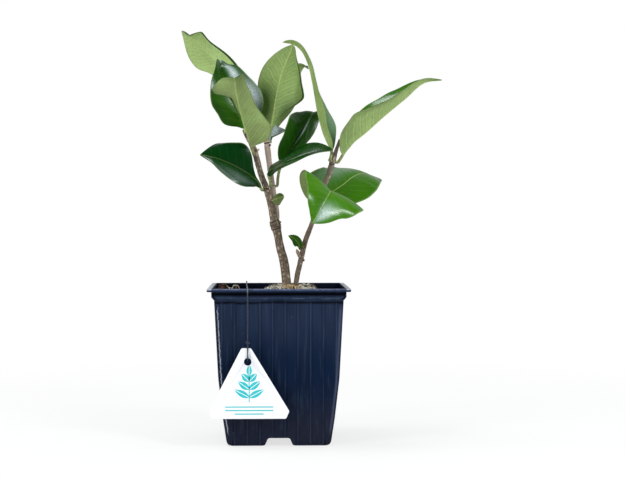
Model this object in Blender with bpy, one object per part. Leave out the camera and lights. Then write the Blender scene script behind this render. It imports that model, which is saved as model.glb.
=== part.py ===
"""Potted privet: two woody stems with glossy leaves in a square nursery pot with a hang tag.

Lengths in the tables are millimetres measured from the pot's axis and from the ground.
Every object is parented to one empty, which sets the whole plant over the middle of its
own footprint.
"""
import math

import bmesh
import bpy
import numpy as np
from mathutils import Vector

MM = 0.001
GAP = 0.3                       # clearance between pieces that touch
FOOTPRINT_SHIFT = (-22.1, 0.9)  # pot axis, seen from the middle of the footprint

# Pot: a square 90 mm container, 100 mm tall
POT_HEIGHT = 100.0
POT_WALL = 1.2
FLANGE_HALF = 45.3
FLANGE_DRAFT = 0.3
FLANGE_DEPTH = 2.0
COLLAR_HALF = 42.5
COLLAR_FOOT = 94.3
WALL_PROFILE = ((4.0, 33.5), (17.5, 35.5), (43.0, 38.3), (92.4, 40.8))  # height, half width
CORNER_RADIUS = 4.5
FOOT_PROFILE = ((0.0, 31.0, 3.0), (0.8, 32.4, 3.6), (2.4, 33.2, 4.1))  # height, half width, corner radius
FLOOR = 1.2
CHANNEL_HEIGHT = 5.2
CHANNEL_TOP = 15.0
CHANNEL_FOOT = 17.5
CHANNEL_REACH = 40.0            # past the outside of the wall
RIDGE_WALL = 1.0                # floor left beside a channel
RIDGE_REACH = 32.8              # into the wall, which holds the ridge's ends
DRAIN_HOLE = 9.0
DRAIN_OFFSET = 21.0

# Filling
MIX_TOP = 93.0
LITTER_CENTRE = (8.0, 0.0)
LITTER_HALF = (17.5, 14.0)
LITTER_HEIGHT = 8.0
LITTER_PROFILE = ((0.0, 1.0), (0.3, 0.97), (0.65, 0.8), (0.9, 0.55), (1.0, 0.36))  # share of height, of width
CHIP_OUTLINE = ((-0.5, -0.28), (-0.2, -0.5), (0.3, -0.44), (0.5, -0.1), (0.42, 0.34), (0.05, 0.5),
                (-0.38, 0.4))
CHIP_LEVELS = ((-0.5, 0.8), (-0.1, 1.0), (0.3, 0.92), (0.5, 0.7))  # share of thickness, of width
CHIPS = (
    # x, y, bearing, tilt, length, width, thickness
    (-37.2, 12.0, 80.0, 14.0, 8.0, 6.0, 6.4),
    (-36.4, 22.5, -80.0, -12.0, 8.5, 6.0, 6.0),
    (-32.5, -2.0, 70.0, 10.0, 8.0, 5.5, 3.6),
    (-36.6, 32.0, 5.0, -10.0, 7.0, 6.0, 6.2),
    (-27.5, 7.5, -20.0, 12.0, 6.5, 5.0, 3.2),
)

# Hang tag on a cord over the pot's mouth
TAG_THICKNESS = 0.6
TAG_FACE = -46.5
TAG_OUTLINE = ((-17.5, 63.2), (6.4, 23.9), (4.4, 19.2), (-41.7, 19.2), (-43.7, 23.9), (-23.4, 63.2))
TAG_HOLE = (-19.5, 54.7, 4.7)
CORD_DIAMETER = 0.85
CORD_POINTS = 78
CORD_ROUTE = (
    (-21.6, 46.9, 80.0), (-21.6, 46.9, 88.0), (-21.6, 46.9, 96.6), (-21.6, 46.5, 99.3),
    (-21.6, 44.8, 100.9), (-21.5, 42.0, 101.0), (-21.2, 24.0, 99.7), (-20.7, 4.0, 99.1),
    (-20.2, -20.0, 99.6), (-19.8, -42.0, 101.0), (-19.7, -44.8, 100.9), (-19.6, -46.5, 99.3),
    (-19.6, -46.9, 96.6), (-19.4, -46.9, 84.0), (-19.5, -46.9, 70.0), (-19.5, -46.9, 65.5),
    (-19.5, -47.4, 61.5), (-19.5, -47.7, 58.3), (-19.5, -46.2, 55.6), (-19.5, -44.6, 58.3),
    (-19.5, -45.0, 62.0), (-19.5, -45.65, 65.2),
)
LOOP_KNOT = (-19.5, -46.9, 65.5, 2.2)
END_KNOT = (-21.6, 46.9, 78.2, 1.5)

# Stems: x, y, z, radius
LEFT_STEM = (
    (5.2, 0, 75.0, 3.0), (5.2, 0, 97.2, 3.0), (5.1, 0, 103.1, 3.0), (3.3, 0, 116.8, 2.9),
    (1.5, 0, 123.4, 2.7), (0.1, 0, 129.9, 2.6), (-0.9, 0, 135.2, 2.8), (-2.0, 0, 139.7, 3.4),
    (-3.1, -0.4, 143.8, 2.6), (-4.3, -1, 149.5, 2.2), (-7.6, -2, 162.6, 2.1), (-11.3, -3, 172.3, 1.9),
    (-14.9, -4, 185.3, 2.0), (-17.2, -4, 191.8, 1.9), (-20.7, -2.4, 198.4, 1.6), (-22.4, -1.6, 201.8, 1.4),
)
MIDDLE_BRANCH = (
    (-2.0, 0, 139.7, 2.2), (-1.0, 1, 146.9, 1.6), (-3.0, 3, 159.4, 1.7), (-4.2, 3.6, 166.0, 1.9),
    (-5.5, 4, 175.8, 1.8), (-7.1, 4, 189.0, 1.95), (-7.9, 4, 195.5, 2.0),
)
RIGHT_STEM = (
    (11.4, 0, 75.0, 1.7), (11.4, 0, 97.2, 1.7), (11.6, 0, 103.1, 1.7), (14.5, 0, 116.8, 1.7),
    (17.7, 0, 129.9, 1.7), (21.9, 0, 141.0, 1.5), (25.1, 0, 153.0, 1.7), (30.5, 0, 167.2, 1.7),
    (32.7, 0, 172.4, 1.7), (35.4, 0, 181.4, 2.0), (37.6, 1.0, 188.0, 1.25), (40.3, 2.0, 195.6, 1.1),
)
STEM_SIDES = 10
SLEEVE_GAP = 0.35               # round a stem's foot, where it goes through the filling
SLEEVE_TOP = 103.0

# Leaves. Each grows from its stem at a height and a bearing (degrees, 0 is +X, 90 is +Y; None is
# straight out of the stem's tip). rib rows hold the midrib's course and the way the upper face
# looks there. half is the half width left and right of the rib at even steps along the blade, fold
# the angle by which each half is raised, stalk the length of the bare stalk.
PETIOLE_RADIUS = 0.95
PETIOLE_GAP = 0.45
LEAVES = {
    "leaf_left_top": dict(
        stem="left", height=200.0, bearing=90, stalk=6, widest=0.48,
        rib=((-24, 13, 214, 0, 1, 0.1), (-30.5, 21, 231, -0.15, 0.95, -0.1),
             (-40.5, 22, 247.5, -0.2, 0.95, -0.15), (-49.5, 17, 256, -0.15, 0.85, 0.1),
             (-55, 9, 261.5, 0.05, 0.6, 0.6), (-57.5, 1, 263, 0.1, 0.25, 0.9), (-58, -9, 262, 0.1, 0.1, 1)),
        half=((17, 7), (18, 6), (20, 5.5), (20.5, 5.5), (21.2, 7.4), (13.7, 14), (9.6, 14.2),
              (11.5, 14.8), (9, 14.5)),
        fold=((45, 45), (45, 45), (45, 40), (35, 35), (25, 25))),
    "leaf_left_dark": dict(
        stem="left", height=199.6, bearing=-90, stalk=4, widest=0.44,
        rib=((-23, -5, 205.5, 0, -1, 0.1), (-27, -7, 214.5, -0.1, -1, 0.2), (-31.5, -7, 225, -0.1, -1, 0.2),
             (-35.5, -5, 235.5, -0.1, -0.9, 0.4), (-38.5, -1, 243, 0.1, -0.7, 0.7),
             (-39, 6, 247.5, 0.2, -0.3, 0.95), (-38.5, 13, 248, 0.2, 0, 1)),
        half=((13, 22), (17, 25), (14.6, 25), (15.1, 21.3), (13.6, 17), (10, 13), (5.3, 10), (3.6, 8.7),
              (3, 8)),
        fold=((15, 22), (15, 32), (40, 31), (50, 10), (30, 0))),
    "leaf_left_front": dict(
        stem="left", height=186.6, bearing=-110, stalk=9.5, widest=0.36, full=1.25,
        rib=((-18, -17, 193.5, 0.64, 0.8, 0.3), (-20.5, -23, 199.5, 0.6, 0.85, 0.4),
             (-23.5, -30, 208.5, 0.35, 0.85, 0.5), (-25.5, -36, 216.5, 0.12, 0.85, 0.5),
             (-27, -41, 224.5, -0.3, 0.7, 0.7), (-27.5, -48, 229.5, -0.2, 0.3, 0.95),
             (-27.5, -58, 230, 0, 0.05, 1)),
        half=((21, 18), (19.3, 19), (15, 20), (12.6, 20), (12.6, 20), (14.2, 20), (14, 20), (14, 19),
              (14, 18)),
        fold=((45, 45), (50, 50), (55, 55), (35, 20), (10, 10))),
    "leaf_left_low": dict(
        stem="left", height=163.6, bearing=-150, stalk=4, widest=0.52, full=2.0,
        rib=((-13.5, -8, 167.5, -0.15, -0.9, 0.35), (-18.5, -11, 172.1, -0.15, -0.9, 0.35),
             (-25.1, -13, 176.2, -0.15, -0.9, 0.35), (-32.8, -14, 179.9, -0.1, -0.9, 0.35),
             (-41, -13, 183, 0, -0.85, 0.45), (-50.7, -11, 185.1, 0, -0.8, 0.6)),
        half=((14, 2), (13.3, 2.2), (14.2, 6.2), (13.6, 12.9), (12.2, 15.5), (10.5, 14.4), (9.1, 14.5),
              (8.3, 17.2), (8, 18)),
        fold=((20, 10), (25, 10), (25, 10), (20, 10))),
    "leaf_left_small": dict(
        stem="left", height=155.5, bearing=-55, stalk=1, small=True,
        rib=((-1.5, -5, 156.5, 0.2, 0.9, -0.4), (1, -7, 157.5, 0.2, 0.9, -0.4),
             (3.5, -9, 158, 0.2, 0.9, -0.4)),
        half=((4.5, 4), (4.5, 4)), fold=((10, 10), (10, 10))),
    "leaf_middle_top": dict(
        stem="middle", height=195.5, bearing=None, stalk=5, widest=0.42, full=2.0,
        rib=((-6.5, 2, 200, 0, 1, 0.1), (-4.5, 1, 207, 0, 1, 0.1), (-2.5, 0, 219, 0, 1, 0.1),
             (-0.5, -1, 229, 0, 1, 0.1), (1.5, -2, 237, 0, 1, 0.1), (5, -5, 246, -0.1, 0.9, 0.3),
             (8, -10, 252.5, -0.1, 0.8, 0.5), (9, -16, 256, -0.1, 0.6, 0.8)),
        half=((5, 17), (4.7, 17), (6, 16), (10.2, 14), (15.4, 13.9), (19.6, 14.7), (19.6, 15.9),
              (18.9, 16.8), (19.2, 16.6), (17.3, 16), (14.6, 15.6), (13.5, 16), (12, 15)),
        fold=((30, 30), (22, 30), (35, 30), (35, 35))),
    "leaf_middle_back": dict(
        stem="middle", height=193.6, bearing=90, stalk=4, full=1.9,
        rib=((-3.5, 16, 211, 0, 1, 0.1), (3.5, 20, 228.5, 0, 1, 0.1), (10.5, 19, 240.5, -0.2, 0.8, 0.5),
             (16.5, 16, 245, -0.1, 0.4, 0.9), (20, 11, 243, 0.3, 0.2, 0.9)),
        half=((5, 12), (8, 12), (12, 12), (12, 12), (11, 12)),
        fold=((25, 25), (25, 25))),
    "leaf_middle_small": dict(
        stem="middle", height=193.6, bearing=20, stalk=2, small=True,
        rib=((-5.2, 5.4, 197.2, -0.1, -0.8, 0.6), (-0.5, 7.2, 199.9, -0.1, -0.8, 0.6),
             (5.2, 9, 202.3, -0.1, -0.8, 0.6)),
        half=((3.5, 1.6), (8.4, 1.3), (4.5, 1)), fold=((10, 10), (10, 10))),
    "leaf_middle_dark": dict(
        stem="middle", height=165.0, bearing=20, stalk=16,
        rib=((-0.4, 5, 170.5, -0.2, -0.95, 0.3), (0.9, 5.5, 177, -0.2, -0.95, 0.3),
             (5, 8, 185, -0.2, -0.95, 0.3),
             (10.5, 11, 193.5, -0.2, -0.95, 0.3), (15.5, 14, 201.5, -0.2, -0.95, 0.3),
             (20, 19, 210, -0.2, -0.8, 0.6), (23.5, 26, 215, -0.2, -0.5, 0.85), (26, 34, 215, -0.1, -0.2, 1)),
        half=((19, 14), (16.4, 13), (14.4, 11.8), (15.2, 11.7), (15.6, 11.5), (12.5, 11.2), (9.8, 11),
              (11, 10), (12.5, 9)),
        fold=((66, 38), (66, 38), (58, 30), (25, 15), (5, 5))),
    "leaf_middle_low": dict(
        stem="middle", height=165.0, bearing=-110, stalk=14, full=1.2,
        rib=((-5.5, -5, 168.5, -0.9, -0.4, 0.3), (-6.5, -10, 173, -0.7, -0.2, 0.6),
             (-2.5, -12, 176.5, -0.4, -0.08, 0.9), (3.5, -14, 180, -0.3, -0.05, 0.95),
             (10.5, -15, 182.5, -0.25, -0.05, 0.95), (18, -15, 185, -0.2, -0.05, 0.95),
             (26.5, -14, 187, -0.05, -0.05, 0.95), (35, -13, 188, 0.1, -0.05, 0.95)),
        half=((15, 10), (15.7, 12.5), (16, 14), (15.6, 15), (15, 16), (15.8, 14.5), (18, 13), (20, 14),
              (20, 15)),
        fold=((12, -22), (15, -12), (28, -2), (30, 0))),
    "leaf_right_hooked": dict(
        stem="right", height=181.6, bearing=235, stalk=8,
        rib=((34.6, -0.9, 186.5, 0.95, -0.25, 0.2), (34.2, -0.6, 190.5, 0.95, -0.25, 0.2),
             (29.5, 1, 201.5, 0.95, -0.25, 0.2), (26.5, 2, 212, 0.95, -0.1, 0.2),
             (24.5, 3, 223, 0.95, -0.1, 0.2), (22.7, 4, 233.5, 0.95, -0.1, 0.2),
             (20, 5, 245, 0.95, -0.1, 0.2), (15.5, 7, 254.5, 0.8, -0.2, 0.5),
             (10, 9, 259, 0.5, -0.25, 0.8), (3, 10, 260.5, 0.3, -0.2, 0.95)),
        half=((14, 8), (14.1, 13.6), (14, 14.2), (13, 13.4), (12, 11), (10.5, 6.5), (10, 5.4),
              (12.5, 8), (16, 8)),
        fold=((35, 45), (25, 35), (15, 12), (20, 8), (50, 30))),
    "leaf_right_long": dict(
        stem="right", height=181.4, bearing=-20, stalk=8, widest=0.36,
        rib=((41, -2.5, 184, -0.8, -0.1, 0.5), (43.5, -4, 188.5, -0.8, -0.1, 0.5),
             (48, -5, 194, -0.6, -0.1, 0.75), (56, -5, 200, -0.6, -0.1, 0.75),
             (69, -5, 211.5, -0.6, -0.1, 0.75), (82.5, -3, 222.5, -0.6, -0.1, 0.75),
             (95, 0, 233, -0.4, -0.1, 0.9), (107.5, 4, 235.3, 0, -0.1, 1)),
        half=((8, 10), (11, 16.3), (16, 18.8), (15.7, 15.8), (14.4, 12.2), (16, 13), (17, 12.8),
              (12.3, 9.5), (9, 9)),
        fold=((34, 60), (44, 54), (48, 38), (30, 35), (20, 35))),
    "leaf_right_back": dict(
        stem="right", height=151.5, bearing=70, stalk=4,
        rib=((28.5, 8, 156, -0.1, -0.9, 0.4), (36.5, 16, 162, -0.1, -0.9, 0.4),
             (44, 24, 167, -0.1, -0.9, 0.4),
             (50.5, 33, 172, -0.1, -0.8, 0.6), (58.5, 44, 174.8, -0.1, -0.6, 0.8),
             (71, 56, 171.2, -0.1, -0.2, 1)),
        half=((26, 20), (24.3, 20.6), (18.8, 20.1), (17.2, 21.5), (16.2, 21.5), (15.5, 25), (15, 26)),
        fold=((5, 5), (10, 10), (0, 0), (-10, -10))),
    "leaf_right_front": dict(
        stem="right", height=151.0, bearing=-80, stalk=4,
        rib=((26.5, -12, 154, 0.3, 0.4, 0.85), (30, -22, 158.5, 0.5, 0.2, 0.82),
             (32.5, -32, 161.5, 0.62, 0, 0.78), (30.5, -42, 158, 0.5, -0.6, 0.6),
             (27, -48, 152.5, 0.45, -0.8, 0.3), (24, -51, 146.5, 0.4, -0.85, 0.25),
             (20.5, -53, 141, 0.4, -0.85, 0.25)),
        half=((22, 16), (22, 18), (22, 21), (23, 21.8), (24.6, 20.5), (25, 20.2), (25, 19.3),
              (24.5, 19), (24, 19)),
        fold=((11, 10), (9, 0), (10, 10))),
    "leaf_right_small": dict(
        stem="right", height=123.5, bearing=-155, stalk=2, small=True,
        rib=((13.2, -3.4, 126.7, -0.3, -0.8, 0.5), (10.6, -5, 130.4, -0.3, -0.8, 0.5),
             (6.4, -6, 132.9, -0.3, -0.8, 0.5)),
        half=((3, 3), (3, 3)), fold=((10, 10), (10, 10))),
}
LEAF_SIDES = 12                 # corners round a leaf's section
BLADE_THICKNESS = 0.6
KEEL = 0.7                      # how far the rib stands out under the blade
RIB_TIP_RADIUS = 0.15
STALK_END = 0.22                # share of the blade over which the stalk thins into the rib
BLADE_START = 0.08              # share of the blade over which it gets its thickness
TIP_THINNING = 0.8              # share of the keel lost towards the tip
TIP_LEVEL = 12                  # how late towards the tip the faces turn level
SMALL_STALK = 0.6               # a small leaf's stalk and keel, as shares of a full leaf's
SMALL_KEEL = 0.4

COLOURS = {
    # name: colour, roughness
    "pot_plastic": ((0.012, 0.016, 0.04), 0.42),
    "potting_mix": ((0.035, 0.022, 0.014), 0.95),
    "straw": ((0.45, 0.36, 0.2), 0.8),
    "bark_chip": ((0.09, 0.04, 0.03), 0.85),
    "stem_bark": ((0.2, 0.15, 0.1), 0.7),
    "leaf_green": ((0.05, 0.18, 0.03), 0.3),
    "tag_plastic": ((0.85, 0.87, 0.88), 0.4),
    "cord_thread": ((0.12, 0.12, 0.13), 0.7),
}


# ---------------------------------------------------------------- small helpers
def clear_scene():
    for item in list(bpy.data.objects):
        bpy.data.objects.remove(item)


def material(name):
    found = bpy.data.materials.get(name)
    if found:
        return found
    colour, roughness = COLOURS[name]
    made = bpy.data.materials.new(name)
    made.use_nodes = True
    shader = made.node_tree.nodes["Principled BSDF"]
    shader.inputs["Base Color"].default_value = (*colour, 1.0)
    shader.inputs["Roughness"].default_value = roughness
    shader.inputs["Metallic"].default_value = 0.0
    return made


def place(obj, stand, finish=None):
    bpy.context.scene.collection.objects.link(obj)
    obj.parent = stand
    if finish:
        obj.data.materials.append(material(finish))
    return obj


def guide(obj):
    """A cutter or a shape that is joined to another: not a piece of its own."""
    obj.hide_render = True
    obj.display_type = "WIRE"
    return obj


def face_outwards(bm):
    bmesh.ops.recalc_face_normals(bm, faces=bm.faces)
    if bm.calc_volume(signed=True) < 0:
        bmesh.ops.reverse_faces(bm, faces=bm.faces)


def loft(name, rings, stand, finish=None, matched=False):
    """A closed skin over rings of equal point count, in millimetres, with flat ends.

    A matched skin has its two broad sides cut into triangles the same way, so a thin blade stays
    as thick as its rings.
    """
    mesh = bpy.data.meshes.new(name)
    bm = bmesh.new()
    loops = [[bm.verts.new(Vector(point) * MM) for point in ring] for ring in rings]
    count = len(loops[0])
    for low, high in zip(loops, loops[1:]):
        for i in range(count):
            j = (i + 1) % count
            if not matched:
                bm.faces.new((low[i], low[j], high[j], high[i]))
            elif i < count // 2:
                bm.faces.new((low[i], low[j], high[j]))
                bm.faces.new((low[i], high[j], high[i]))
            else:
                bm.faces.new((low[i], low[j], high[i]))
                bm.faces.new((low[j], high[j], high[i]))
    bm.faces.new(loops[0])
    bm.faces.new(loops[-1])
    face_outwards(bm)
    bm.to_mesh(mesh)
    bm.free()
    mesh.shade_smooth()
    mesh.set_sharp_from_angle(angle=math.radians(40))
    return place(bpy.data.objects.new(name, mesh), stand, finish)


def boolean(obj, other, operation):
    cut = obj.modifiers.new(f"{operation.lower()}_{other.name}", "BOOLEAN")
    cut.operation = operation
    cut.solver = "EXACT"
    cut.object = other


def smooth_course(rows, at):
    """Rows of numbers read off a smooth curve through them, at fractions of its length."""
    rows = np.array(rows, float)
    spans = np.linalg.norm(np.diff(rows[:, :3], axis=0), axis=1)[:, None] ** 0.5
    slopes = np.diff(rows, axis=0) / spans
    middle = (slopes[:-1] * spans[1:] + slopes[1:] * spans[:-1]) / (spans[1:] + spans[:-1])
    slopes_at = np.vstack([slopes[:1], middle, slopes[-1:]])
    s = np.linspace(0, 1, 20, endpoint=False)[:, None]
    fine = []
    for start, end, leave, arrive, span in zip(rows, rows[1:], slopes_at, slopes_at[1:], spans):
        fine.append((2 * s ** 3 - 3 * s ** 2 + 1) * start + (3 * s ** 2 - 2 * s ** 3) * end
                    + span * ((s ** 3 - 2 * s ** 2 + s) * leave + (s ** 3 - s ** 2) * arrive))
    fine = np.vstack(fine + [rows[-1:]])
    steps = np.linalg.norm(np.diff(fine[:, :3], axis=0), axis=1)
    run = np.concatenate([[0], np.cumsum(steps)])
    return np.column_stack([np.interp(np.asarray(at) * run[-1], run, column) for column in fine.T]), run[-1]


def unit(vectors):
    return vectors / np.linalg.norm(vectors, axis=-1, keepdims=True)


# ---------------------------------------------------------------- pot and filling
def square_ring(half, corner, height, steps=4):
    points = []
    for quarter in range(4):
        middle = math.radians(45 + 90 * quarter)
        centre = (half - corner) * math.copysign(1, math.cos(middle)), \
            (half - corner) * math.copysign(1, math.sin(middle))
        for step in range(steps + 1):
            angle = math.radians(90 * quarter + 90 * step / steps)
            along, across = corner * math.cos(angle), corner * math.sin(angle)
            points.append((centre[0] + along, centre[1] + across, height))
    return points


def wall_half(height):
    heights, halves = zip(*WALL_PROFILE)
    return float(np.interp(height, heights, halves))


def pot_outside():
    rings = [square_ring(half, corner, height) for height, half, corner in FOOT_PROFILE]
    rings += [square_ring(half, CORNER_RADIUS, height) for height, half in WALL_PROFILE]
    flange_foot = POT_HEIGHT - FLANGE_DEPTH
    rings += [square_ring(COLLAR_HALF, CORNER_RADIUS, COLLAR_FOOT),
              square_ring(COLLAR_HALF, CORNER_RADIUS, flange_foot),
              square_ring(FLANGE_HALF, CORNER_RADIUS, flange_foot),
              square_ring(FLANGE_HALF - FLANGE_DRAFT, CORNER_RADIUS, POT_HEIGHT)]
    return rings


def inside_ring(height, inset):
    """The pot's inner wall at a height, drawn in by an inset."""
    if height >= COLLAR_FOOT:
        half = COLLAR_HALF
    elif height > WALL_PROFILE[-1][0]:
        wall_top, wall_top_half = WALL_PROFILE[-1]
        half = float(np.interp(height, (wall_top, COLLAR_FOOT), (wall_top_half, COLLAR_HALF)))
    else:
        half = wall_half(max(height, WALL_PROFILE[0][0]))
    half -= POT_WALL + inset
    return square_ring(half, CORNER_RADIUS - 1, height)


def box(name, low, high, stand):
    corners = [(low[0], low[1]), (high[0], low[1]), (high[0], high[1]), (low[0], high[1])]
    return guide(loft(name, [[(x, y, z) for x, y in corners] for z in (low[2], high[2])], stand))


def channel(name, along_x, stand):
    """The see-through drainage channel under the floor, wider at its foot."""
    below = 1.0
    foot = CHANNEL_FOOT / 2 + below * (CHANNEL_FOOT - CHANNEL_TOP) / 2 / CHANNEL_HEIGHT
    top = CHANNEL_TOP / 2
    section = ((-foot, -below), (foot, -below), (top, CHANNEL_HEIGHT), (-top, CHANNEL_HEIGHT))
    ends = [[(end, a, z) if along_x else (a, end, z) for a, z in section]
            for end in (-CHANNEL_REACH, CHANNEL_REACH)]
    return guide(loft(name, ends, stand))


def ridges(prefix, grow, stand):
    """The cross of raised floor over the channels, as two bars."""
    width = CHANNEL_FOOT / 2 + RIDGE_WALL + grow
    foot = FOOT_PROFILE[1][0]
    top = CHANNEL_HEIGHT + POT_WALL + grow
    reach = RIDGE_REACH + grow * 4
    return (box(f"{prefix}_ridge_x", (-reach, -width, foot), (reach, width, top), stand),
            box(f"{prefix}_ridge_y", (-width, -reach, foot), (width, reach, top), stand))


def round_ring(centre, radius, height, sides, squash=1.0):
    angles = [2 * math.pi * i / sides for i in range(sides)]
    deep = radius * squash
    return [(centre[0] + radius * math.cos(a), centre[1] + deep * math.sin(a), height) for a in angles]


def drain_hole(name, x, y, stand):
    ends = (CHANNEL_HEIGHT - 2, CHANNEL_HEIGHT + 3)
    rings = [round_ring((x, y), DRAIN_HOLE / 2, height, 16) for height in ends]
    return guide(loft(name, rings, stand))


def make_pot(stand):
    wall_heights = [height for height, _ in WALL_PROFILE[:0:-1]]
    inner_heights = (POT_HEIGHT, COLLAR_FOOT, *wall_heights, FLOOR)
    rings = pot_outside() + [inside_ring(height, 0.0) for height in inner_heights]
    pot = loft("pot", rings, stand, "pot_plastic")
    for bar in ridges("pot", 0.0, stand):
        boolean(pot, bar, "UNION")
    for name, along_x in (("channel_x", True), ("channel_y", False)):
        boolean(pot, channel(name, along_x, stand), "DIFFERENCE")
    for index, (x, y) in enumerate(((0, 0), (1, 0), (-1, 0), (0, 1), (0, -1))):
        hole = drain_hole(f"drain_{index}", x * DRAIN_OFFSET, y * DRAIN_OFFSET, stand)
        boolean(pot, hole, "DIFFERENCE")
    return pot


def sleeve(name, rows, stand):
    """The space a stem takes in what surrounds its foot."""
    x, y, _, radius = rows[0]
    low = rows[0][2] - GAP
    rings = [round_ring((x, y), radius + SLEEVE_GAP, height, 14) for height in (low, SLEEVE_TOP)]
    return guide(loft(name, rings, stand))


def make_mix(stand, sleeves):
    heights = (FLOOR + GAP, *(height for height, _ in WALL_PROFILE[1:]), MIX_TOP)
    mix = loft("potting_mix", [inside_ring(height, GAP) for height in heights], stand, "potting_mix")
    for cutter in (*ridges("mix", GAP, stand), *sleeves):
        boolean(mix, cutter, "DIFFERENCE")
    return mix


def make_litter(stand, sleeves):
    foot = MIX_TOP + GAP
    rings = []
    for rise, spread in LITTER_PROFILE:
        ring = round_ring(LITTER_CENTRE, LITTER_HALF[0] * spread, foot + LITTER_HEIGHT * rise, 18,
                          LITTER_HALF[1] / LITTER_HALF[0])
        rings.append(ring)
    litter = loft("straw_litter", rings, stand, "straw")
    for cutter in sleeves:
        boolean(litter, cutter, "DIFFERENCE")
    return litter


def make_chip(index, row, stand):
    """A torn piece of bark lying tilted on the mix."""
    x, y, bearing, tilt, length, width, thickness = row
    rings = []
    for level, spread in CHIP_LEVELS:
        rings.append([(a * length * spread, b * width * spread, level * thickness) for a, b in CHIP_OUTLINE])
    chip = loft(f"bark_chip_{index + 1}", rings, stand, "bark_chip")
    chip.rotation_euler = (0.0, math.radians(tilt), math.radians(bearing))
    matrix = chip.rotation_euler.to_matrix()
    lowest = min((matrix @ (Vector(point) * MM)).z for ring in rings for point in ring)
    chip.location = (x * MM, y * MM, (MIX_TOP + GAP) * MM - lowest)
    return chip


# ---------------------------------------------------------------- stems
def stem_rings(rows, steps):
    course, _ = smooth_course(rows, np.linspace(0, 1, steps))
    ahead = np.vstack([course[1:, :3], 2 * course[-1, :3] - course[-2, :3]])
    behind = np.vstack([2 * course[0, :3] - course[1, :3], course[:-1, :3]])
    along = unit(ahead - behind)
    across = unit(np.cross(along, (0.0, 1.0, 0.0)))
    depth = np.cross(across, along)
    rings = []
    for point, a, d, radius in zip(course[:, :3], across, depth, course[:, 3]):
        angles = 2 * np.pi * np.arange(STEM_SIDES) / STEM_SIDES
        rings.append([tuple(point + radius * (np.cos(t) * a + np.sin(t) * d)) for t in angles])
    return rings


def make_stems(stand):
    left = loft("left_stem", stem_rings(LEFT_STEM, 34), stand, "stem_bark")
    branch = guide(loft("middle_branch", stem_rings(MIDDLE_BRANCH, 16), stand))
    boolean(left, branch, "UNION")
    right = loft("right_stem", stem_rings(RIGHT_STEM, 28), stand, "stem_bark")
    return left, right


def stem_at(name, height):
    """Centre, radius and direction of a stem at a height."""
    rows = {"left": LEFT_STEM, "middle": MIDDLE_BRANCH, "right": RIGHT_STEM}[name]
    course, _ = smooth_course(rows, np.linspace(0, 1, 400))
    index = int(np.argmin(abs(course[:, 2] - height)))
    before = max(index - 3, 0)
    after = min(index + 3, len(course) - 1)
    return course[index, :3], course[index, 3], unit(course[after, :3] - course[before, :3])


# ---------------------------------------------------------------- leaves
def leaf_course(leaf):
    """Rows of midrib point and upper-face direction, starting square to the stem."""
    centre, radius, along = stem_at(leaf["stem"], leaf["height"])
    if leaf["bearing"] is None:
        out = along
        start = centre + out * PETIOLE_GAP
    else:
        angle = math.radians(leaf["bearing"])
        out = np.array((math.cos(angle), math.sin(angle), 0.0))
        out = unit(out - out.dot(along) * along)
        start = centre + out * (radius + PETIOLE_GAP)
    upper = leaf["rib"][0][3:]
    lead = 0.8 if leaf.get("small") else 1.3
    return [(*start, *upper), (*(start + out * lead), *upper), *leaf["rib"]]


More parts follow.
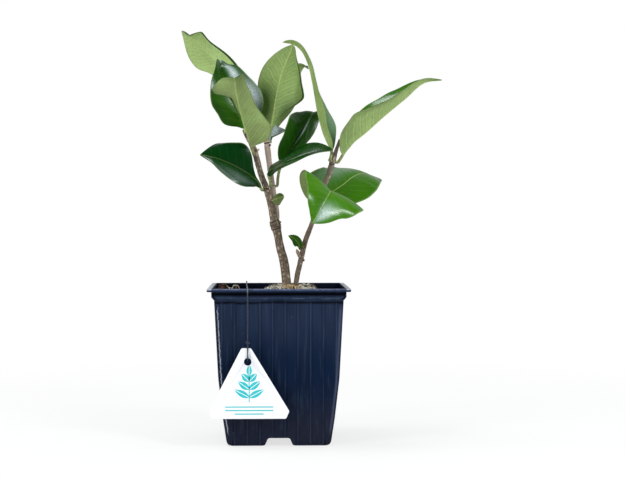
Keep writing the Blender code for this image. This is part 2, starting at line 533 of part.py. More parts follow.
def make_leaf(name, leaf, stand):
    rows = leaf_course(leaf)
    small = leaf.get("small", False)
    _, length = smooth_course(rows, (0, 1))
    bare = leaf["stalk"] / length
    stalk_at = np.array((0.0, 0.35, 0.75)) * bare
    blade = 0.5 - 0.5 * np.cos(np.pi * np.linspace(0, 1, 7 if small else 14))
    blade[1:-1] = 0.35 * blade[1:-1] + 0.65 * np.linspace(0, 1, len(blade))[1:-1]
    at = np.concatenate([stalk_at, bare + (1 - bare) * blade])
    course, _ = smooth_course(rows, at)
    nudge = 0.005
    ahead, _ = smooth_course(rows, np.clip(at + nudge, 0, 1))
    behind, _ = smooth_course(rows, np.clip(at - nudge, 0, 1))
    along = unit(ahead[:, :3] - behind[:, :3])
    upper = course[:, 3:] - (course[:, 3:] * along).sum(1, keepdims=True) * along
    upper = unit(upper)
    for k in range(len(stalk_at) - 1, -1, -1):
        carried = upper[k + 1] - upper[k + 1].dot(along[k]) * along[k]
        upper[k] = unit(carried)
    side = np.cross(along, upper)

    grown = np.clip((at - bare) / (1 - bare), 0, 1)
    widest = leaf.get("widest", 0.42)
    safe = np.clip(grown, 1e-6, 1 - 1e-6)
    outline = (safe / widest) ** widest * ((1 - safe) / (1 - widest)) ** (1 - widest)
    outline = outline ** leaf.get("full", 1.45)
    half = np.array(leaf["half"], float)
    fold = np.radians(np.array(leaf["fold"], float))
    radius = PETIOLE_RADIUS * (SMALL_STALK if small else 1.0)

    turn = LEAF_SIDES // 2
    rings = []
    for k, t in enumerate(grown):
        core = RIB_TIP_RADIUS + (radius - RIB_TIP_RADIUS) * max(0.0, 1 - t / STALK_END)
        begun = min(1.0, t / BLADE_START)
        skin = BLADE_THICKNESS / 2 * begun
        keel = KEEL * (SMALL_KEEL if small else 1.0) * (1 - TIP_THINNING * t) * begun
        ring = []
        for j in range(LEAF_SIDES):
            theta = math.pi * (1 - j / turn)
            across = 2 * j / turn - 1 if j <= turn else 3 - 2 * j / turn
            hand = 0 if across < 0 else 1
            raise_by = np.interp(t, np.linspace(0, 1, len(fold)), fold[:, hand])
            reach = outline[k] * np.interp(t, np.linspace(0, 1, len(half)), half[:, hand]) * abs(across)
            sign = math.copysign(1.0, across)
            spread = sign * math.cos(raise_by) * side[k] + math.sin(raise_by) * upper[k]
            around = math.cos(theta) * side[k] + math.sin(theta) * upper[k]
            point = course[k, :3] + reach * spread + core * around
            tilt = sign * math.sin(raise_by) * (1 - t ** TIP_LEVEL) if abs(across) > 0.01 else 0.0
            face = upper[k] * math.sqrt(1 - tilt ** 2) - side[k] * tilt
            if j % turn:
                point = point + face * skin * (1 if j < turn else -1)
            if j == turn + turn // 2:
                point = point - upper[k] * keel
            ring.append(tuple(point))
        rings.append(ring)
    return loft(name, rings, stand, "leaf_green", matched=True)


# ---------------------------------------------------------------- tag and cord
def make_tag(stand):
    faces = [[(x, y, z) for x, z in TAG_OUTLINE] for y in (TAG_FACE, TAG_FACE + TAG_THICKNESS)]
    tag = loft("hang_tag", faces, stand, "tag_plastic")
    x, z, diameter = TAG_HOLE
    angles = [2 * math.pi * i / 20 for i in range(20)]
    ends = [[(x + diameter / 2 * math.cos(a), y, z + diameter / 2 * math.sin(a)) for a in angles]
            for y in (TAG_FACE - 1, TAG_FACE + TAG_THICKNESS + 1)]
    boolean(tag, guide(loft("tag_hole", ends, stand)), "DIFFERENCE")
    return tag


def make_cord(stand):
    course, _ = smooth_course(CORD_ROUTE, np.linspace(0, 1, CORD_POINTS))
    curve = bpy.data.curves.new("tag_cord", "CURVE")
    curve.dimensions = "3D"
    curve.bevel_depth = CORD_DIAMETER / 2 * MM
    curve.bevel_resolution = 2
    curve.use_fill_caps = True
    spline = curve.splines.new("POLY")
    spline.points.add(len(course) - 1)
    for point, place_at in zip(spline.points, course):
        point.co = (*(Vector(place_at) * MM), 1.0)
    return place(bpy.data.objects.new("tag_cord", curve), stand, "cord_thread")


def make_loop_knot(stand):
    """The knot that closes the loop through the tag: a bead around the standing cord."""
    x, y, foot, height = LOOP_KNOT
    bore = CORD_DIAMETER / 2 + GAP
    section = ((bore, 0.0), (1.5, 0.0), (1.75, 0.5), (1.5, 1.0), (bore, 1.0))
    mesh = bpy.data.meshes.new("loop_knot")
    bm = bmesh.new()
    sides = 12
    rings = []
    for i in range(sides):
        angle = 2 * math.pi * i / sides
        ring = [(x + r * math.cos(angle), y + r * math.sin(angle), foot + h * height) for r, h in section]
        rings.append([bm.verts.new(Vector(point) * MM) for point in ring])
    for i in range(sides):
        here, after = rings[i], rings[(i + 1) % sides]
        for k in range(len(section)):
            m = (k + 1) % len(section)
            bm.faces.new((here[k], after[k], after[m], here[m]))
    face_outwards(bm)
    bm.to_mesh(mesh)
    bm.free()
    mesh.shade_smooth()
    return place(bpy.data.objects.new("loop_knot", mesh), stand, "cord_thread")


def make_end_knot(stand):
    x, y, z, radius = END_KNOT
    rings = []
    for step in range(1, 8):
        angle = math.pi * step / 8
        rings.append(round_ring((x, y), radius * math.sin(angle), z - radius * math.cos(angle), 10))
    return loft("end_knot", rings, stand, "cord_thread")


# ---------------------------------------------------------------- the whole
def main():
    clear_scene()
    stand = bpy.data.objects.new("stand", None)
    stand.location = (FOOTPRINT_SHIFT[0] * MM, FOOTPRINT_SHIFT[1] * MM, 0.0)
    bpy.context.scene.collection.objects.link(stand)

    sleeves = [sleeve("left_sleeve", LEFT_STEM, stand), sleeve("right_sleeve", RIGHT_STEM, stand)]
    make_pot(stand)
    make_mix(stand, sleeves)
    make_litter(stand, sleeves)
    for index, row in enumerate(CHIPS):
        make_chip(index, row, stand)
    make_stems(stand)
    for name, leaf in LEAVES.items():
        make_leaf(name, leaf, stand)
    make_tag(stand)
    make_cord(stand)
    make_loop_knot(stand)
    make_end_knot(stand)


main()
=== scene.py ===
"""Potted privet: the finish of every surface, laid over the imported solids."""
import math

import bmesh
import bpy
import numpy as np
from bpy.props import FloatProperty, FloatVectorProperty, IntProperty, PointerProperty
from mathutils import Euler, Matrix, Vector, noise


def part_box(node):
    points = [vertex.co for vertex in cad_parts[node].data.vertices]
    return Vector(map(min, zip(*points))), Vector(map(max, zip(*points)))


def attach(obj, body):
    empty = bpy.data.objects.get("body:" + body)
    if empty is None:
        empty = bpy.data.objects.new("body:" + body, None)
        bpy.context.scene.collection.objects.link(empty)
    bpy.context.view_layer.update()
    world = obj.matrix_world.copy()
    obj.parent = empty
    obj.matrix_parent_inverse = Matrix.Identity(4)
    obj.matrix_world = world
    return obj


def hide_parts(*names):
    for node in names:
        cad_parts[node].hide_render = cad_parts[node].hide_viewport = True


bl_info = {
    "name": "Potted Privet",
    "version": (1, 0, 0),
    "blender": (4, 5, 0),
    "location": "View3D > Sidebar > Privet",
    "description": "Builds a potted privet with its tag, filling, stems and leaves",
    "category": "Object",
}

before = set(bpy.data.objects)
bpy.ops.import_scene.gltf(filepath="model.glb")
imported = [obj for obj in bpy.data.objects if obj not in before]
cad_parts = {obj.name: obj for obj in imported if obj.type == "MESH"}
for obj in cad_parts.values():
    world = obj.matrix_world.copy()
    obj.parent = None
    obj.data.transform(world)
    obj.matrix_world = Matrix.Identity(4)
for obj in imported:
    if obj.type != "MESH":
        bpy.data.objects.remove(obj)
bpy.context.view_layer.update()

MM = 0.001
POT_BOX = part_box("pot")
AXIS = np.array(((POT_BOX[0].x + POT_BOX[1].x) / 2, (POT_BOX[0].y + POT_BOX[1].y) / 2, 0.0))

# Lengths in the tables are millimetres from the pot's axis and from the ground.
POT_HEIGHT = 100.0
POT_WALL = 1.2
FLANGE_HALF = 45.3
FLANGE_DRAFT = 0.3
FLANGE_DEPTH = 2.0
COLLAR_HALF = 42.5
COLLAR_FOOT = 94.3
WALL_PROFILE = ((4.0, 33.5), (17.5, 35.5), (43.0, 38.3), (92.4, 40.8))  # height, half width
FOOT_PROFILE = ((0.0, 31.0, 3.0), (0.8, 32.4, 3.6), (2.4, 33.2, 4.1))   # height, half width, corner
CORNER_RADIUS = 4.5
CORNER_STEPS = 6                       # steps round half a corner
FLOOR = 1.2
CHANNEL_HEIGHT = 5.2
CHANNEL_TOP = 15.0
CHANNEL_FOOT = 17.5
CHANNEL_REACH = 40.0                   # half length of what cuts it
RIDGE_WALL = 1.0
RIDGE_REACH = 32.8
DRAIN_HOLE = 9.0
DRAIN_OFFSET = 21.0
DRAIN_PLACES = ((0, 0), (1, 0), (-1, 0), (0, 1), (0, -1))
FLUTES = (4.0, 12.0, 20.0, 28.0)       # distance of each groove from the middle of its face
FLUTE_FOOT = 9.0
FLUTE_TOP = 91.0

MIX_TOP = 93.0
LITTER_CENTRE = (8.0, 0.0)
LITTER_HALF = (17.5, 14.0)
LITTER_HEIGHT = 8.0
# Rings of the mound under the straw, dark with painted shade: share of its height, share of its width
MOUND_LEVELS = ((0.0, 0.96), (0.28, 0.9), (0.44, 0.78), (0.54, 0.6), (0.6, 0.4), (0.62, 0.12))
CHIP_OUTLINE = ((-0.5, -0.28), (-0.2, -0.5), (0.3, -0.44), (0.5, -0.1), (0.42, 0.34), (0.05, 0.5),
                (-0.38, 0.4))
CHIP_LEVELS = ((-0.5, 0.8), (-0.1, 1.0), (0.3, 0.92), (0.5, 0.7))  # share of thickness, of width
CHIPS = (
    # x, y, bearing, tilt, length, width, thickness
    (-37.2, 12.0, 80.0, 14.0, 8.0, 6.0, 6.4),
    (-36.4, 22.5, -80.0, -12.0, 8.5, 6.0, 6.0),
    (-32.5, -2.0, 70.0, 10.0, 8.0, 5.5, 3.6),
    (-36.6, 32.0, 5.0, -10.0, 7.0, 6.0, 6.2),
    (-27.5, 7.5, -20.0, 12.0, 6.5, 5.0, 3.2),
)

TAG_THICKNESS = 0.6
TAG_FACE = -46.5
TAG_OUTLINE = ((-17.5, 63.2), (6.4, 23.9), (4.4, 19.2), (-41.7, 19.2), (-43.7, 23.9), (-23.4, 63.2))
TAG_HOLE = (-19.5, 54.7, 4.7)          # x, z, diameter
TAG_CORNER = 0.8                       # how far each corner is rounded off
TAG_BEVEL = 0.08
SPRIG_FOOT = (-18.6, 29.5)
SPRIG_STEM = 17.0
SPRIG_LEAVES = ((3.0, 28), (3.0, 152), (8.0, 36), (8.0, 144), (13.0, 46), (13.0, 134))  # rise, bearing
RULED_LINES = ((26.6, 15.0), (24.4, 15.0), (22.2, 9.0))  # height, half length
CORD_DIAMETER = 0.85
CORD_LAY = 2.6                         # length of one turn of its strands
CORD_ROUTE = (
    (-21.6, 46.9, 80.0), (-21.6, 46.9, 88.0), (-21.6, 46.9, 96.6), (-21.6, 46.5, 99.3),
    (-21.6, 44.8, 100.9), (-21.5, 42.0, 101.0), (-21.2, 24.0, 99.7), (-20.7, 4.0, 99.1),
    (-20.2, -20.0, 99.6), (-19.8, -42.0, 101.0), (-19.7, -44.8, 100.9), (-19.6, -46.5, 99.3),
    (-19.6, -46.9, 96.6), (-19.4, -46.9, 84.0), (-19.5, -46.9, 70.0), (-19.5, -46.9, 65.5),
    (-19.5, -47.4, 61.5), (-19.5, -47.7, 58.3), (-19.5, -46.2, 55.6), (-19.5, -44.6, 58.3),
    (-19.5, -45.0, 62.0), (-19.5, -45.65, 65.2),
)
LOOP_KNOT = (-19.5, -46.9, 66.6)
END_KNOT = (-21.6, 46.9, 78.2)

# Stems: x, y, z, radius
LEFT_STEM = (
    (5.2, 0, 75.0, 3.0), (5.2, 0, 97.2, 3.0), (5.1, 0, 103.1, 3.0), (3.3, 0, 116.8, 2.9),
    (1.5, 0, 123.4, 2.7), (0.1, 0, 129.9, 2.6), (-0.9, 0, 135.2, 2.8), (-2.0, 0, 139.7, 3.4),
    (-3.1, -0.4, 143.8, 2.6), (-4.3, -1, 149.5, 2.2), (-7.6, -2, 162.6, 2.1), (-11.3, -3, 172.3, 1.9),
    (-14.9, -4, 185.3, 2.0), (-17.2, -4, 191.8, 1.9), (-20.7, -2.4, 198.4, 1.6), (-22.4, -1.6, 201.8, 1.4),
)
MIDDLE_BRANCH = (
    (-2.0, 0, 139.7, 2.2), (-1.0, 1, 146.9, 1.6), (-3.0, 3, 159.4, 1.7), (-4.2, 3.6, 166.0, 1.9),
    (-5.5, 4, 175.8, 1.8), (-7.1, 4, 189.0, 1.95), (-7.9, 4, 195.5, 2.0),
)
RIGHT_STEM = (
    (11.4, 0, 75.0, 1.7), (11.4, 0, 97.2, 1.7), (11.6, 0, 103.1, 1.7), (14.5, 0, 116.8, 1.7),
    (17.7, 0, 129.9, 1.7), (21.9, 0, 141.0, 1.5), (25.1, 0, 153.0, 1.7), (30.5, 0, 167.2, 1.7),
    (32.7, 0, 172.4, 1.7), (35.4, 0, 181.4, 2.0), (37.6, 1.0, 188.0, 1.25), (40.3, 2.0, 195.6, 1.1),
)
STEMS = {"left": LEFT_STEM, "middle": MIDDLE_BRANCH, "right": RIGHT_STEM}
# Rings round the stems: height, depth (raised where it is negative), width
LEFT_RINGS = (
    (136.7, 0.4, 0.3), (138.6, 0.32, 0.26), (140.4, 0.32, 0.26), (142.2, 0.4, 0.32), (137.6, -0.35, 0.8),
    (139.5, -0.3, 0.8), (141.4, -0.4, 0.8), (163.2, 0.3, 0.5), (187.4, 0.25, 0.4),
)
MIDDLE_RINGS = ((165.6, 0.22, 0.35), (193.0, 0.3, 0.45))
RIGHT_RINGS = ((150.2, 0.2, 0.4), (179.4, 0.25, 0.5), (183.6, 0.2, 0.4))
# Buds, stubs and spurs: place, direction, length, radius, and how far they are pore, crease and young
PLAIN_BARK = (0.0, 0.15, 0.0)
DARK_BARK = (0.0, 0.7, 0.0)
LEFT_KNOBS = (
    ((-4.6, -0.6, 140.6), (-0.8, -0.3, 0.7), 1.9, 0.7, PLAIN_BARK),
    ((0.6, -0.8, 141.0), (0.6, -0.4, 0.8), 1.7, 0.7, PLAIN_BARK),
    ((-3.4, -2.2, 138.6), (-0.4, -0.9, 0.5), 1.2, 0.7, PLAIN_BARK),
    ((-9.6, -3.2, 162.4), (-0.9, -0.4, 0.3), 1.4, 1.0, DARK_BARK),
    ((-13.6, -5.3, 188.2), (0.6, -0.8, 0.6), 2.0, 0.8, (0.8, 0.0, 0.2)),
    ((-5.6, 2.6, 192.0), (0.2, -0.9, 0.4), 1.0, 0.7, DARK_BARK),
)
RIGHT_KNOBS = (
    ((13.9, -1.0, 119.0), (-0.45, -0.4, 0.95), 6.4, 1.2, (0.25, 0.0, 0.2)),
    ((15.6, -0.4, 116.6), (0.9, -0.4, 0.2), 1.7, 0.9, PLAIN_BARK),
    ((35.8, -1.6, 182.0), (0.3, -0.7, 0.8), 2.6, 0.9, (0.2, 0.0, 1.0)),
    ((33.6, -0.8, 181.6), (-0.7, -0.5, 0.8), 1.8, 0.8, (0.0, 0.0, 1.0)),
)

# Leaves. Each grows from its stem at a height and a bearing (degrees, 0 is +X, 90 is +Y; None is
# straight out of the stem's tip). rib rows hold the midrib's course and the way the upper face
# looks there. half is the half width left and right of the rib at even steps along the blade, fold
# the angle by which each half is raised, stalk the length of the bare stalk, widest the share of the
# blade at which it is broadest, and full how pointed its ends are. tone holds how light the upper
# face is, how light the under face is and how brown it has gone, from 0 to 1, and rib_shade how pale
# the rib is above; the lightness is partly the leaf's own colour and partly painted light and shade.
# shades darken soft patches with painted shade, such as where a blade folds or bends away, or lighten
# them with painted light where the depth is negative, and bloom whitens them with a painted highlight
# and sheen; a patch is its middle across and along the blade, its reach across and along, and its
# depth. rolled is the share of each half beyond which the margin curls over and shows its upper face
# from below. A small leaf has fewer rows, a thinner stalk and lower waves.
PETIOLE_RADIUS = 0.95
PETIOLE_GAP = 0.1
BLADE_THICKNESS = 0.5
KEEL = 0.65
RIB_TIP_RADIUS = 0.12
RIB_GROOVE = 0.22
RIB_SPREAD = 1.7                # how far out from the midrib the rib, its keel and its groove fade
KEEL_SPREAD = 0.75
GROOVE_SPREAD = 0.45
STALK_STEPS = 12
BLADE_ROWS = 84                 # rows along a blade and steps across each half of it
HALF_STEPS = 16
SMALL_ROWS = 34
SMALL_HALF_STEPS = 9
STALK_LEAD = 1.3                # how far a stalk goes straight out of the wood
SMALL_LEAD = 0.8
STALK_END = 0.22                # share of the blade over which the stalk thins into the rib
BLADE_START = 0.08              # share of the blade over which it gets its thickness
TIP_THINNING = 0.8              # share of the keel lost towards the tip
TIP_LEVEL = 12                  # how late towards the tip the faces turn level
SMALL_STALK = 0.6               # a small leaf's stalk, keel and waves, as shares of a full leaf's
SMALL_KEEL = 0.4
SMALL_WAVE = 0.15
WIDEST = 0.42                   # for the leaves that don't say otherwise
FULL = 1.45
RIB_SHADE = 0.2
LEAVES = {
    "leaf_left_top": dict(
        stem="left", height=200.0, bearing=90, stalk=6, widest=0.48, tone=(0.1, 1.0, 0.0),
        rolled=(0.84, 1.0),
        shades=((0.9, 0.3, 0.5, 0.2, 0.15), (-0.9, 0.9, 0.4, 0.2, 0.1)),
        rib=((-24, 13, 214, 0, 1, 0.1), (-30.5, 21, 231, -0.15, 0.95, -0.1),
             (-40.5, 22, 247.5, -0.2, 0.95, -0.15), (-49.5, 17, 256, -0.15, 0.85, 0.1),
             (-55, 9, 261.5, 0.05, 0.6, 0.6), (-57.5, 1, 263, 0.1, 0.25, 0.9),
             (-58, -9, 262, 0.1, 0.1, 1)),
        half=((17, 7), (18, 6), (20, 5.5), (20.5, 5.5), (21.2, 7.4), (13.7, 14), (9.6, 14.2),
              (11.5, 14.8), (9, 14.5)),
        fold=((45, 45), (45, 45), (45, 40), (35, 35), (25, 25))),
    "leaf_left_dark": dict(
        stem="left", height=199.6, bearing=-90, stalk=4, widest=0.44, tone=(0.42, 0.5, 0.0), rib_shade=0.22,
        painted_highlight=((0.68, 0.3, 0.26, 0.16, 1.0), (0.55, 0.56, 0.18, 0.16, 0.85), (0.22, 0.86, 0.12, 0.05, 0.6)),
        shades=((0.0, 0.8, 1.6, 0.25, 0.26), (0.95, 0.4, 0.3, 0.4, 0.2), (-0.95, 0.3, 0.25, 0.5, 0.16)),
        rib=((-23, -5, 205.5, 0, -1, 0.1), (-27, -7, 214.5, -0.1, -1, 0.2), (-31.5, -7, 225, -0.1, -1, 0.2),
             (-35.5, -5, 235.5, -0.1, -0.9, 0.4), (-38.5, -1, 243, 0.1, -0.7, 0.7),
             (-39, 6, 247.5, 0.2, -0.3, 0.95), (-38.5, 13, 248, 0.2, 0, 1)),
        half=((13, 22), (17, 25), (14.6, 25), (15.1, 21.3), (13.6, 17), (10, 13), (5.3, 10), (3.6, 8.7),
              (3, 8)),
        fold=((15, 22), (15, 32), (40, 31), (50, 10), (30, 0))),
    "leaf_left_front": dict(
        stem="left", height=186.6, bearing=-110, stalk=9.5, widest=0.36, full=1.25, tone=(0.2, 0.66, 0.38),
        shades=((0.9, 0.62, 0.3, 0.3, 0.12), (-0.5, 0.75, 0.4, 0.2, 0.24), (-0.8, 0.2, 0.5, 0.2, -0.05),
                (0.9, 0.85, 0.5, 0.16, -0.26), (0.9, 0.4, 0.25, 0.2, -0.15), (-0.4, 0.35, 0.5, 0.2, 0.12)),
        rib=((-18, -17, 193.5, 0.64, 0.8, 0.3), (-20.5, -23, 199.5, 0.6, 0.85, 0.4),
             (-23.5, -30, 208.5, 0.35, 0.85, 0.5), (-25.5, -36, 216.5, 0.12, 0.85, 0.5),
             (-27, -41, 224.5, -0.3, 0.7, 0.7), (-27.5, -48, 229.5, -0.2, 0.3, 0.95),
             (-27.5, -58, 230, 0, 0.05, 1)),
        half=((21, 18), (19.3, 19), (15, 20), (12.6, 20), (12.6, 20), (14.2, 20), (14, 20), (14, 19),
              (14, 18)),
        fold=((45, 45), (50, 50), (55, 55), (35, 20), (10, 10))),
    "leaf_left_low": dict(
        stem="left", height=163.6, bearing=-150, stalk=4, widest=0.52, full=2.0, tone=(0.0, 0.5, 0.0),
        rib_shade=0.16,
        painted_highlight=((-0.6, 0.36, 0.22, 0.22, 0.14), (-0.85, 0.55, 0.12, 0.25, 0.14)),
        rib=((-13.5, -8, 167.5, -0.15, -0.9, 0.35), (-18.5, -11, 172.1, -0.15, -0.9, 0.35),
             (-25.1, -13, 176.2, -0.15, -0.9, 0.35), (-32.8, -14, 179.9, -0.1, -0.9, 0.35),
             (-41, -13, 183, 0, -0.85, 0.45), (-50.7, -11, 185.1, 0, -0.8, 0.6)),
        half=((14, 2), (13.3, 2.2), (14.2, 6.2), (13.6, 12.9), (12.2, 15.5), (10.5, 14.4), (9.1, 14.5),
              (8.3, 17.2), (8, 18)),
        fold=((20, 10), (25, 10), (25, 10), (20, 10))),
    "leaf_left_small": dict(
        stem="left", height=155.5, bearing=-55, stalk=1, small=True, tone=(0.8, 0.05, 0.75), rib_shade=0.1,
        rib=((-1.5, -5, 156.5, 0.2, 0.9, -0.4), (1, -7, 157.5, 0.2, 0.9, -0.4),
             (3.5, -9, 158, 0.2, 0.9, -0.4)),
        half=((4.5, 4), (4.5, 4)), fold=((10, 10), (10, 10))),
    "leaf_middle_top": dict(
        stem="middle", height=195.5, bearing=None, stalk=5, widest=0.42, full=2.0,
        tone=(0.1, 0.66, 0.0), rolled=(0.9, 1.0),
        shades=((0.7, 0.27, 0.48, 0.18, 1.0), (-0.85, 0.27, 0.45, 0.13, 0.5), (0.0, 0.62, 0.5, 0.2, -0.08)),
        rib=((-6.5, 2, 200, 0, 1, 0.1), (-4.5, 1, 207, 0, 1, 0.1), (-2.5, 0, 219, 0, 1, 0.1),
             (-0.5, -1, 229, 0, 1, 0.1), (1.5, -2, 237, 0, 1, 0.1), (5, -5, 246, -0.1, 0.9, 0.3),
             (8, -10, 252.5, -0.1, 0.8, 0.5), (9, -16, 256, -0.1, 0.6, 0.8)),
        half=((5, 17), (4.7, 17), (6, 16), (10.2, 14), (15.4, 13.9), (19.6, 14.7), (19.6, 15.9),
              (18.9, 16.8), (19.2, 16.6), (17.3, 16), (14.6, 15.6), (13.5, 16), (12, 15)),
        fold=((30, 30), (22, 30), (35, 30), (35, 35))),
    "leaf_middle_back": dict(
        stem="middle", height=193.6, bearing=90, stalk=4, full=1.9, tone=(0.0, 1.0, 0.1),
        rib=((-3.5, 16, 211, 0, 1, 0.1), (3.5, 20, 228.5, 0, 1, 0.1), (10.5, 19, 240.5, -0.2, 0.8, 0.5),
             (16.5, 16, 245, -0.1, 0.4, 0.9), (20, 11, 243, 0.3, 0.2, 0.9)),
        half=((5, 12), (8, 12), (12, 12), (12, 12), (11, 12)),
        fold=((25, 25), (25, 25))),
    "leaf_middle_small": dict(
        stem="middle", height=193.6, bearing=20, stalk=2, small=True, tone=(0.0, 0.4, 0.0),
        painted_highlight=((-0.4, 0.5, 0.7, 0.5, 0.7),),
        rib=((-5.2, 5.4, 197.2, -0.1, -0.8, 0.6), (-0.5, 7.2, 199.9, -0.1, -0.8, 0.6),
             (5.2, 9, 202.3, -0.1, -0.8, 0.6)),
        half=((3.5, 1.6), (8.4, 1.3), (4.5, 1)), fold=((10, 10), (10, 10))),
    "leaf_middle_dark": dict(
        stem="middle", height=165.0, bearing=20, stalk=16, tone=(0.2, 0.4, 0.0),
        painted_highlight=((0.14, 0.5, 0.06, 0.17, 0.9),),
        rib=((-0.4, 5, 170.5, -0.2, -0.95, 0.3), (0.9, 5.5, 177, -0.2, -0.95, 0.3),
             (5, 8, 185, -0.2, -0.95, 0.3), (10.5, 11, 193.5, -0.2, -0.95, 0.3),
             (15.5, 14, 201.5, -0.2, -0.95, 0.3),
             (20, 19, 210, -0.2, -0.8, 0.6), (23.5, 26, 215, -0.2, -0.5, 0.85),
             (26, 34, 215, -0.1, -0.2, 1)),
        half=((19, 14), (16.4, 13), (14.4, 11.8), (15.2, 11.7), (15.6, 11.5), (12.5, 11.2), (9.8, 11),
              (11, 10), (12.5, 9)),
        fold=((66, 38), (66, 38), (58, 30), (25, 15), (5, 5))),
    "leaf_middle_low": dict(
        stem="middle", height=165.0, bearing=-110, stalk=14, full=1.2, tone=(0.05, 0.4, 0.0),
        rib=((-5.5, -5, 168.5, -0.9, -0.4, 0.3), (-6.5, -10, 173, -0.7, -0.2, 0.6),
             (-2.5, -12, 176.5, -0.4, -0.08, 0.9), (3.5, -14, 180, -0.3, -0.05, 0.95),
             (10.5, -15, 182.5, -0.25, -0.05, 0.95), (18, -15, 185, -0.2, -0.05, 0.95),
             (26.5, -14, 187, -0.05, -0.05, 0.95), (35, -13, 188, 0.1, -0.05, 0.95)),
        half=((15, 10), (15.7, 12.5), (16, 14), (15.6, 15), (15, 16), (15.8, 14.5), (18, 13), (20, 14),
              (20, 15)),
        fold=((12, -22), (15, -12), (28, -2), (30, 0))),
    "leaf_right_hooked": dict(
        stem="right", height=181.6, bearing=235, stalk=8, tone=(0.72, 1.0, 0.0),
        painted_highlight=((0.8, 0.2, 0.6, 0.2, 0.2),),
        rib=((34.6, -0.9, 186.5, 0.95, -0.25, 0.2), (34.2, -0.6, 190.5, 0.95, -0.25, 0.2),
             (29.5, 1, 201.5, 0.95, -0.25, 0.2), (26.5, 2, 212, 0.95, -0.1, 0.2),
             (24.5, 3, 223, 0.95, -0.1, 0.2), (22.7, 4, 233.5, 0.95, -0.1, 0.2),
             (20, 5, 245, 0.95, -0.1, 0.2), (15.5, 7, 254.5, 0.8, -0.2, 0.5),
             (10, 9, 259, 0.5, -0.25, 0.8), (3, 10, 260.5, 0.3, -0.2, 0.95)),
        half=((14, 8), (14.1, 13.6), (14, 14.2), (13, 13.4), (12, 11), (10.5, 6.5), (10, 5.4),
              (12.5, 8), (16, 8)),
        fold=((35, 45), (25, 35), (15, 12), (20, 8), (50, 30))),
    "leaf_right_long": dict(
        stem="right", height=181.4, bearing=-20, stalk=8, widest=0.36, tone=(0.6, 0.82, 0.1),
        shades=((0.5, 0.1, 0.5, 0.12, 0.25), (0.9, 0.42, 0.15, 0.4, 0.3), (0.0, 1.0, 2.0, 0.1, 0.7)),
        rib=((41, -2.5, 184, -0.8, -0.1, 0.5), (43.5, -4, 188.5, -0.8, -0.1, 0.5),
             (48, -5, 194, -0.6, -0.1, 0.75), (56, -5, 200, -0.6, -0.1, 0.75),
             (69, -5, 211.5, -0.6, -0.1, 0.75), (82.5, -3, 222.5, -0.6, -0.1, 0.75),
             (95, 0, 233, -0.4, -0.1, 0.9), (107.5, 4, 235.3, 0, -0.1, 1)),
        half=((8, 10), (11, 16.3), (16, 18.8), (15.7, 15.8), (14.4, 12.2), (16, 13), (17, 12.8),
              (12.3, 9.5), (9, 9)),
        fold=((34, 60), (44, 54), (48, 38), (30, 35), (20, 35))),
    "leaf_right_back": dict(
        stem="right", height=151.5, bearing=70, stalk=4, tone=(0.72, 0.6, 0.0), rib_shade=0.55,
        painted_highlight=((-0.7, 0.5, 0.35, 0.35, 0.2), (0.5, 0.85, 0.3, 0.1, 0.15)),
        rib=((28.5, 8, 156, -0.1, -0.9, 0.4), (36.5, 16, 162, -0.1, -0.9, 0.4),
             (44, 24, 167, -0.1, -0.9, 0.4), (50.5, 33, 172, -0.1, -0.8, 0.6),
             (58.5, 44, 174.8, -0.1, -0.6, 0.8), (71, 56, 171.2, -0.1, -0.2, 1)),
        half=((26, 20), (24.3, 20.6), (18.8, 20.1), (17.2, 21.5), (16.2, 21.5), (15.5, 25), (15, 26)),
        fold=((5, 5), (10, 10), (0, 0), (-10, -10))),
    "leaf_right_front": dict(
        stem="right", height=151.0, bearing=-80, stalk=4, tone=(0.88, 0.5, 0.3), rib_shade=0.34,
        painted_highlight=((-0.3, 0.86, 0.28, 0.11, 0.7),),
        rib=((26.5, -12, 154, 0.3, 0.4, 0.85), (30, -22, 158.5, 0.5, 0.2, 0.82),
             (32.5, -32, 161.5, 0.62, 0, 0.78), (30.5, -42, 158, 0.5, -0.6, 0.6),
             (27, -48, 152.5, 0.45, -0.8, 0.3), (24, -51, 146.5, 0.4, -0.85, 0.25),
             (20.5, -53, 141, 0.4, -0.85, 0.25)),
        half=((22, 16), (22, 18), (22, 21), (23, 21.8), (24.6, 20.5), (25, 20.2), (25, 19.3),
              (24.5, 19), (24, 19)),
        fold=((11, 10), (9, 0), (10, 10))),
    "leaf_right_small": dict(
        stem="right", height=123.5, bearing=-155, stalk=2, small=True, tone=(0.45, 0.6, 0.0), rib_shade=0.3,
        rib=((13.2, -3.4, 126.7, -0.3, -0.8, 0.5), (10.6, -5, 130.4, -0.3, -0.8, 0.5),
             (6.4, -6, 132.9, -0.3, -0.8, 0.5)),
        half=((3, 3), (3, 3)), fold=((10, 10), (10, 10))),
}


# The view, in millimetres and degrees
CAMERA_PLACE = (-5.6, -945.0, 143.0)
CAMERA_DIP = 0.733                     # how far it looks down
CAMERA_TURN = -1.685
# The lamps and the floor, in metres
LAMP_AIM = (-0.02, 0.0, 0.13)
LAMPS = {
    # place, size, colour
    "key": ((-0.85, -0.72, 0.42), (0.22, 0.6), (1.0, 0.99, 0.97)),
    "fill": ((0.66, -0.66, 0.68), (0.21, 0.21), (0.95, 0.98, 1.0)),
    "top": ((-0.25, 0.0, 1.22), (0.35, 0.35), (0.95, 0.98, 1.0)),
}
FLOOR_REACH = 12.0
FLOOR_PALE = (0.86, 0.86, 0.87)
FLOOR_GREY = (0.8, 0.8, 0.82)
FLOOR_GLOW = (1.0, 1.0, 1.0)
FLOOR_SHEEN = (0.1, 0.1, 0.11)         # what shiny surfaces see of it


# ---------------------------------------------------------------- settings
def paint(red, green, blue):
    """A colour as it looks on a screen, 0 to 255, turned into shader values."""
    parts = np.array((red, green, blue)) / 255.0
    curve = ((parts + 0.055) / 1.055) ** 2.4
    return tuple(float(part) for part in np.where(parts <= 0.04045, parts / 12.92, curve))


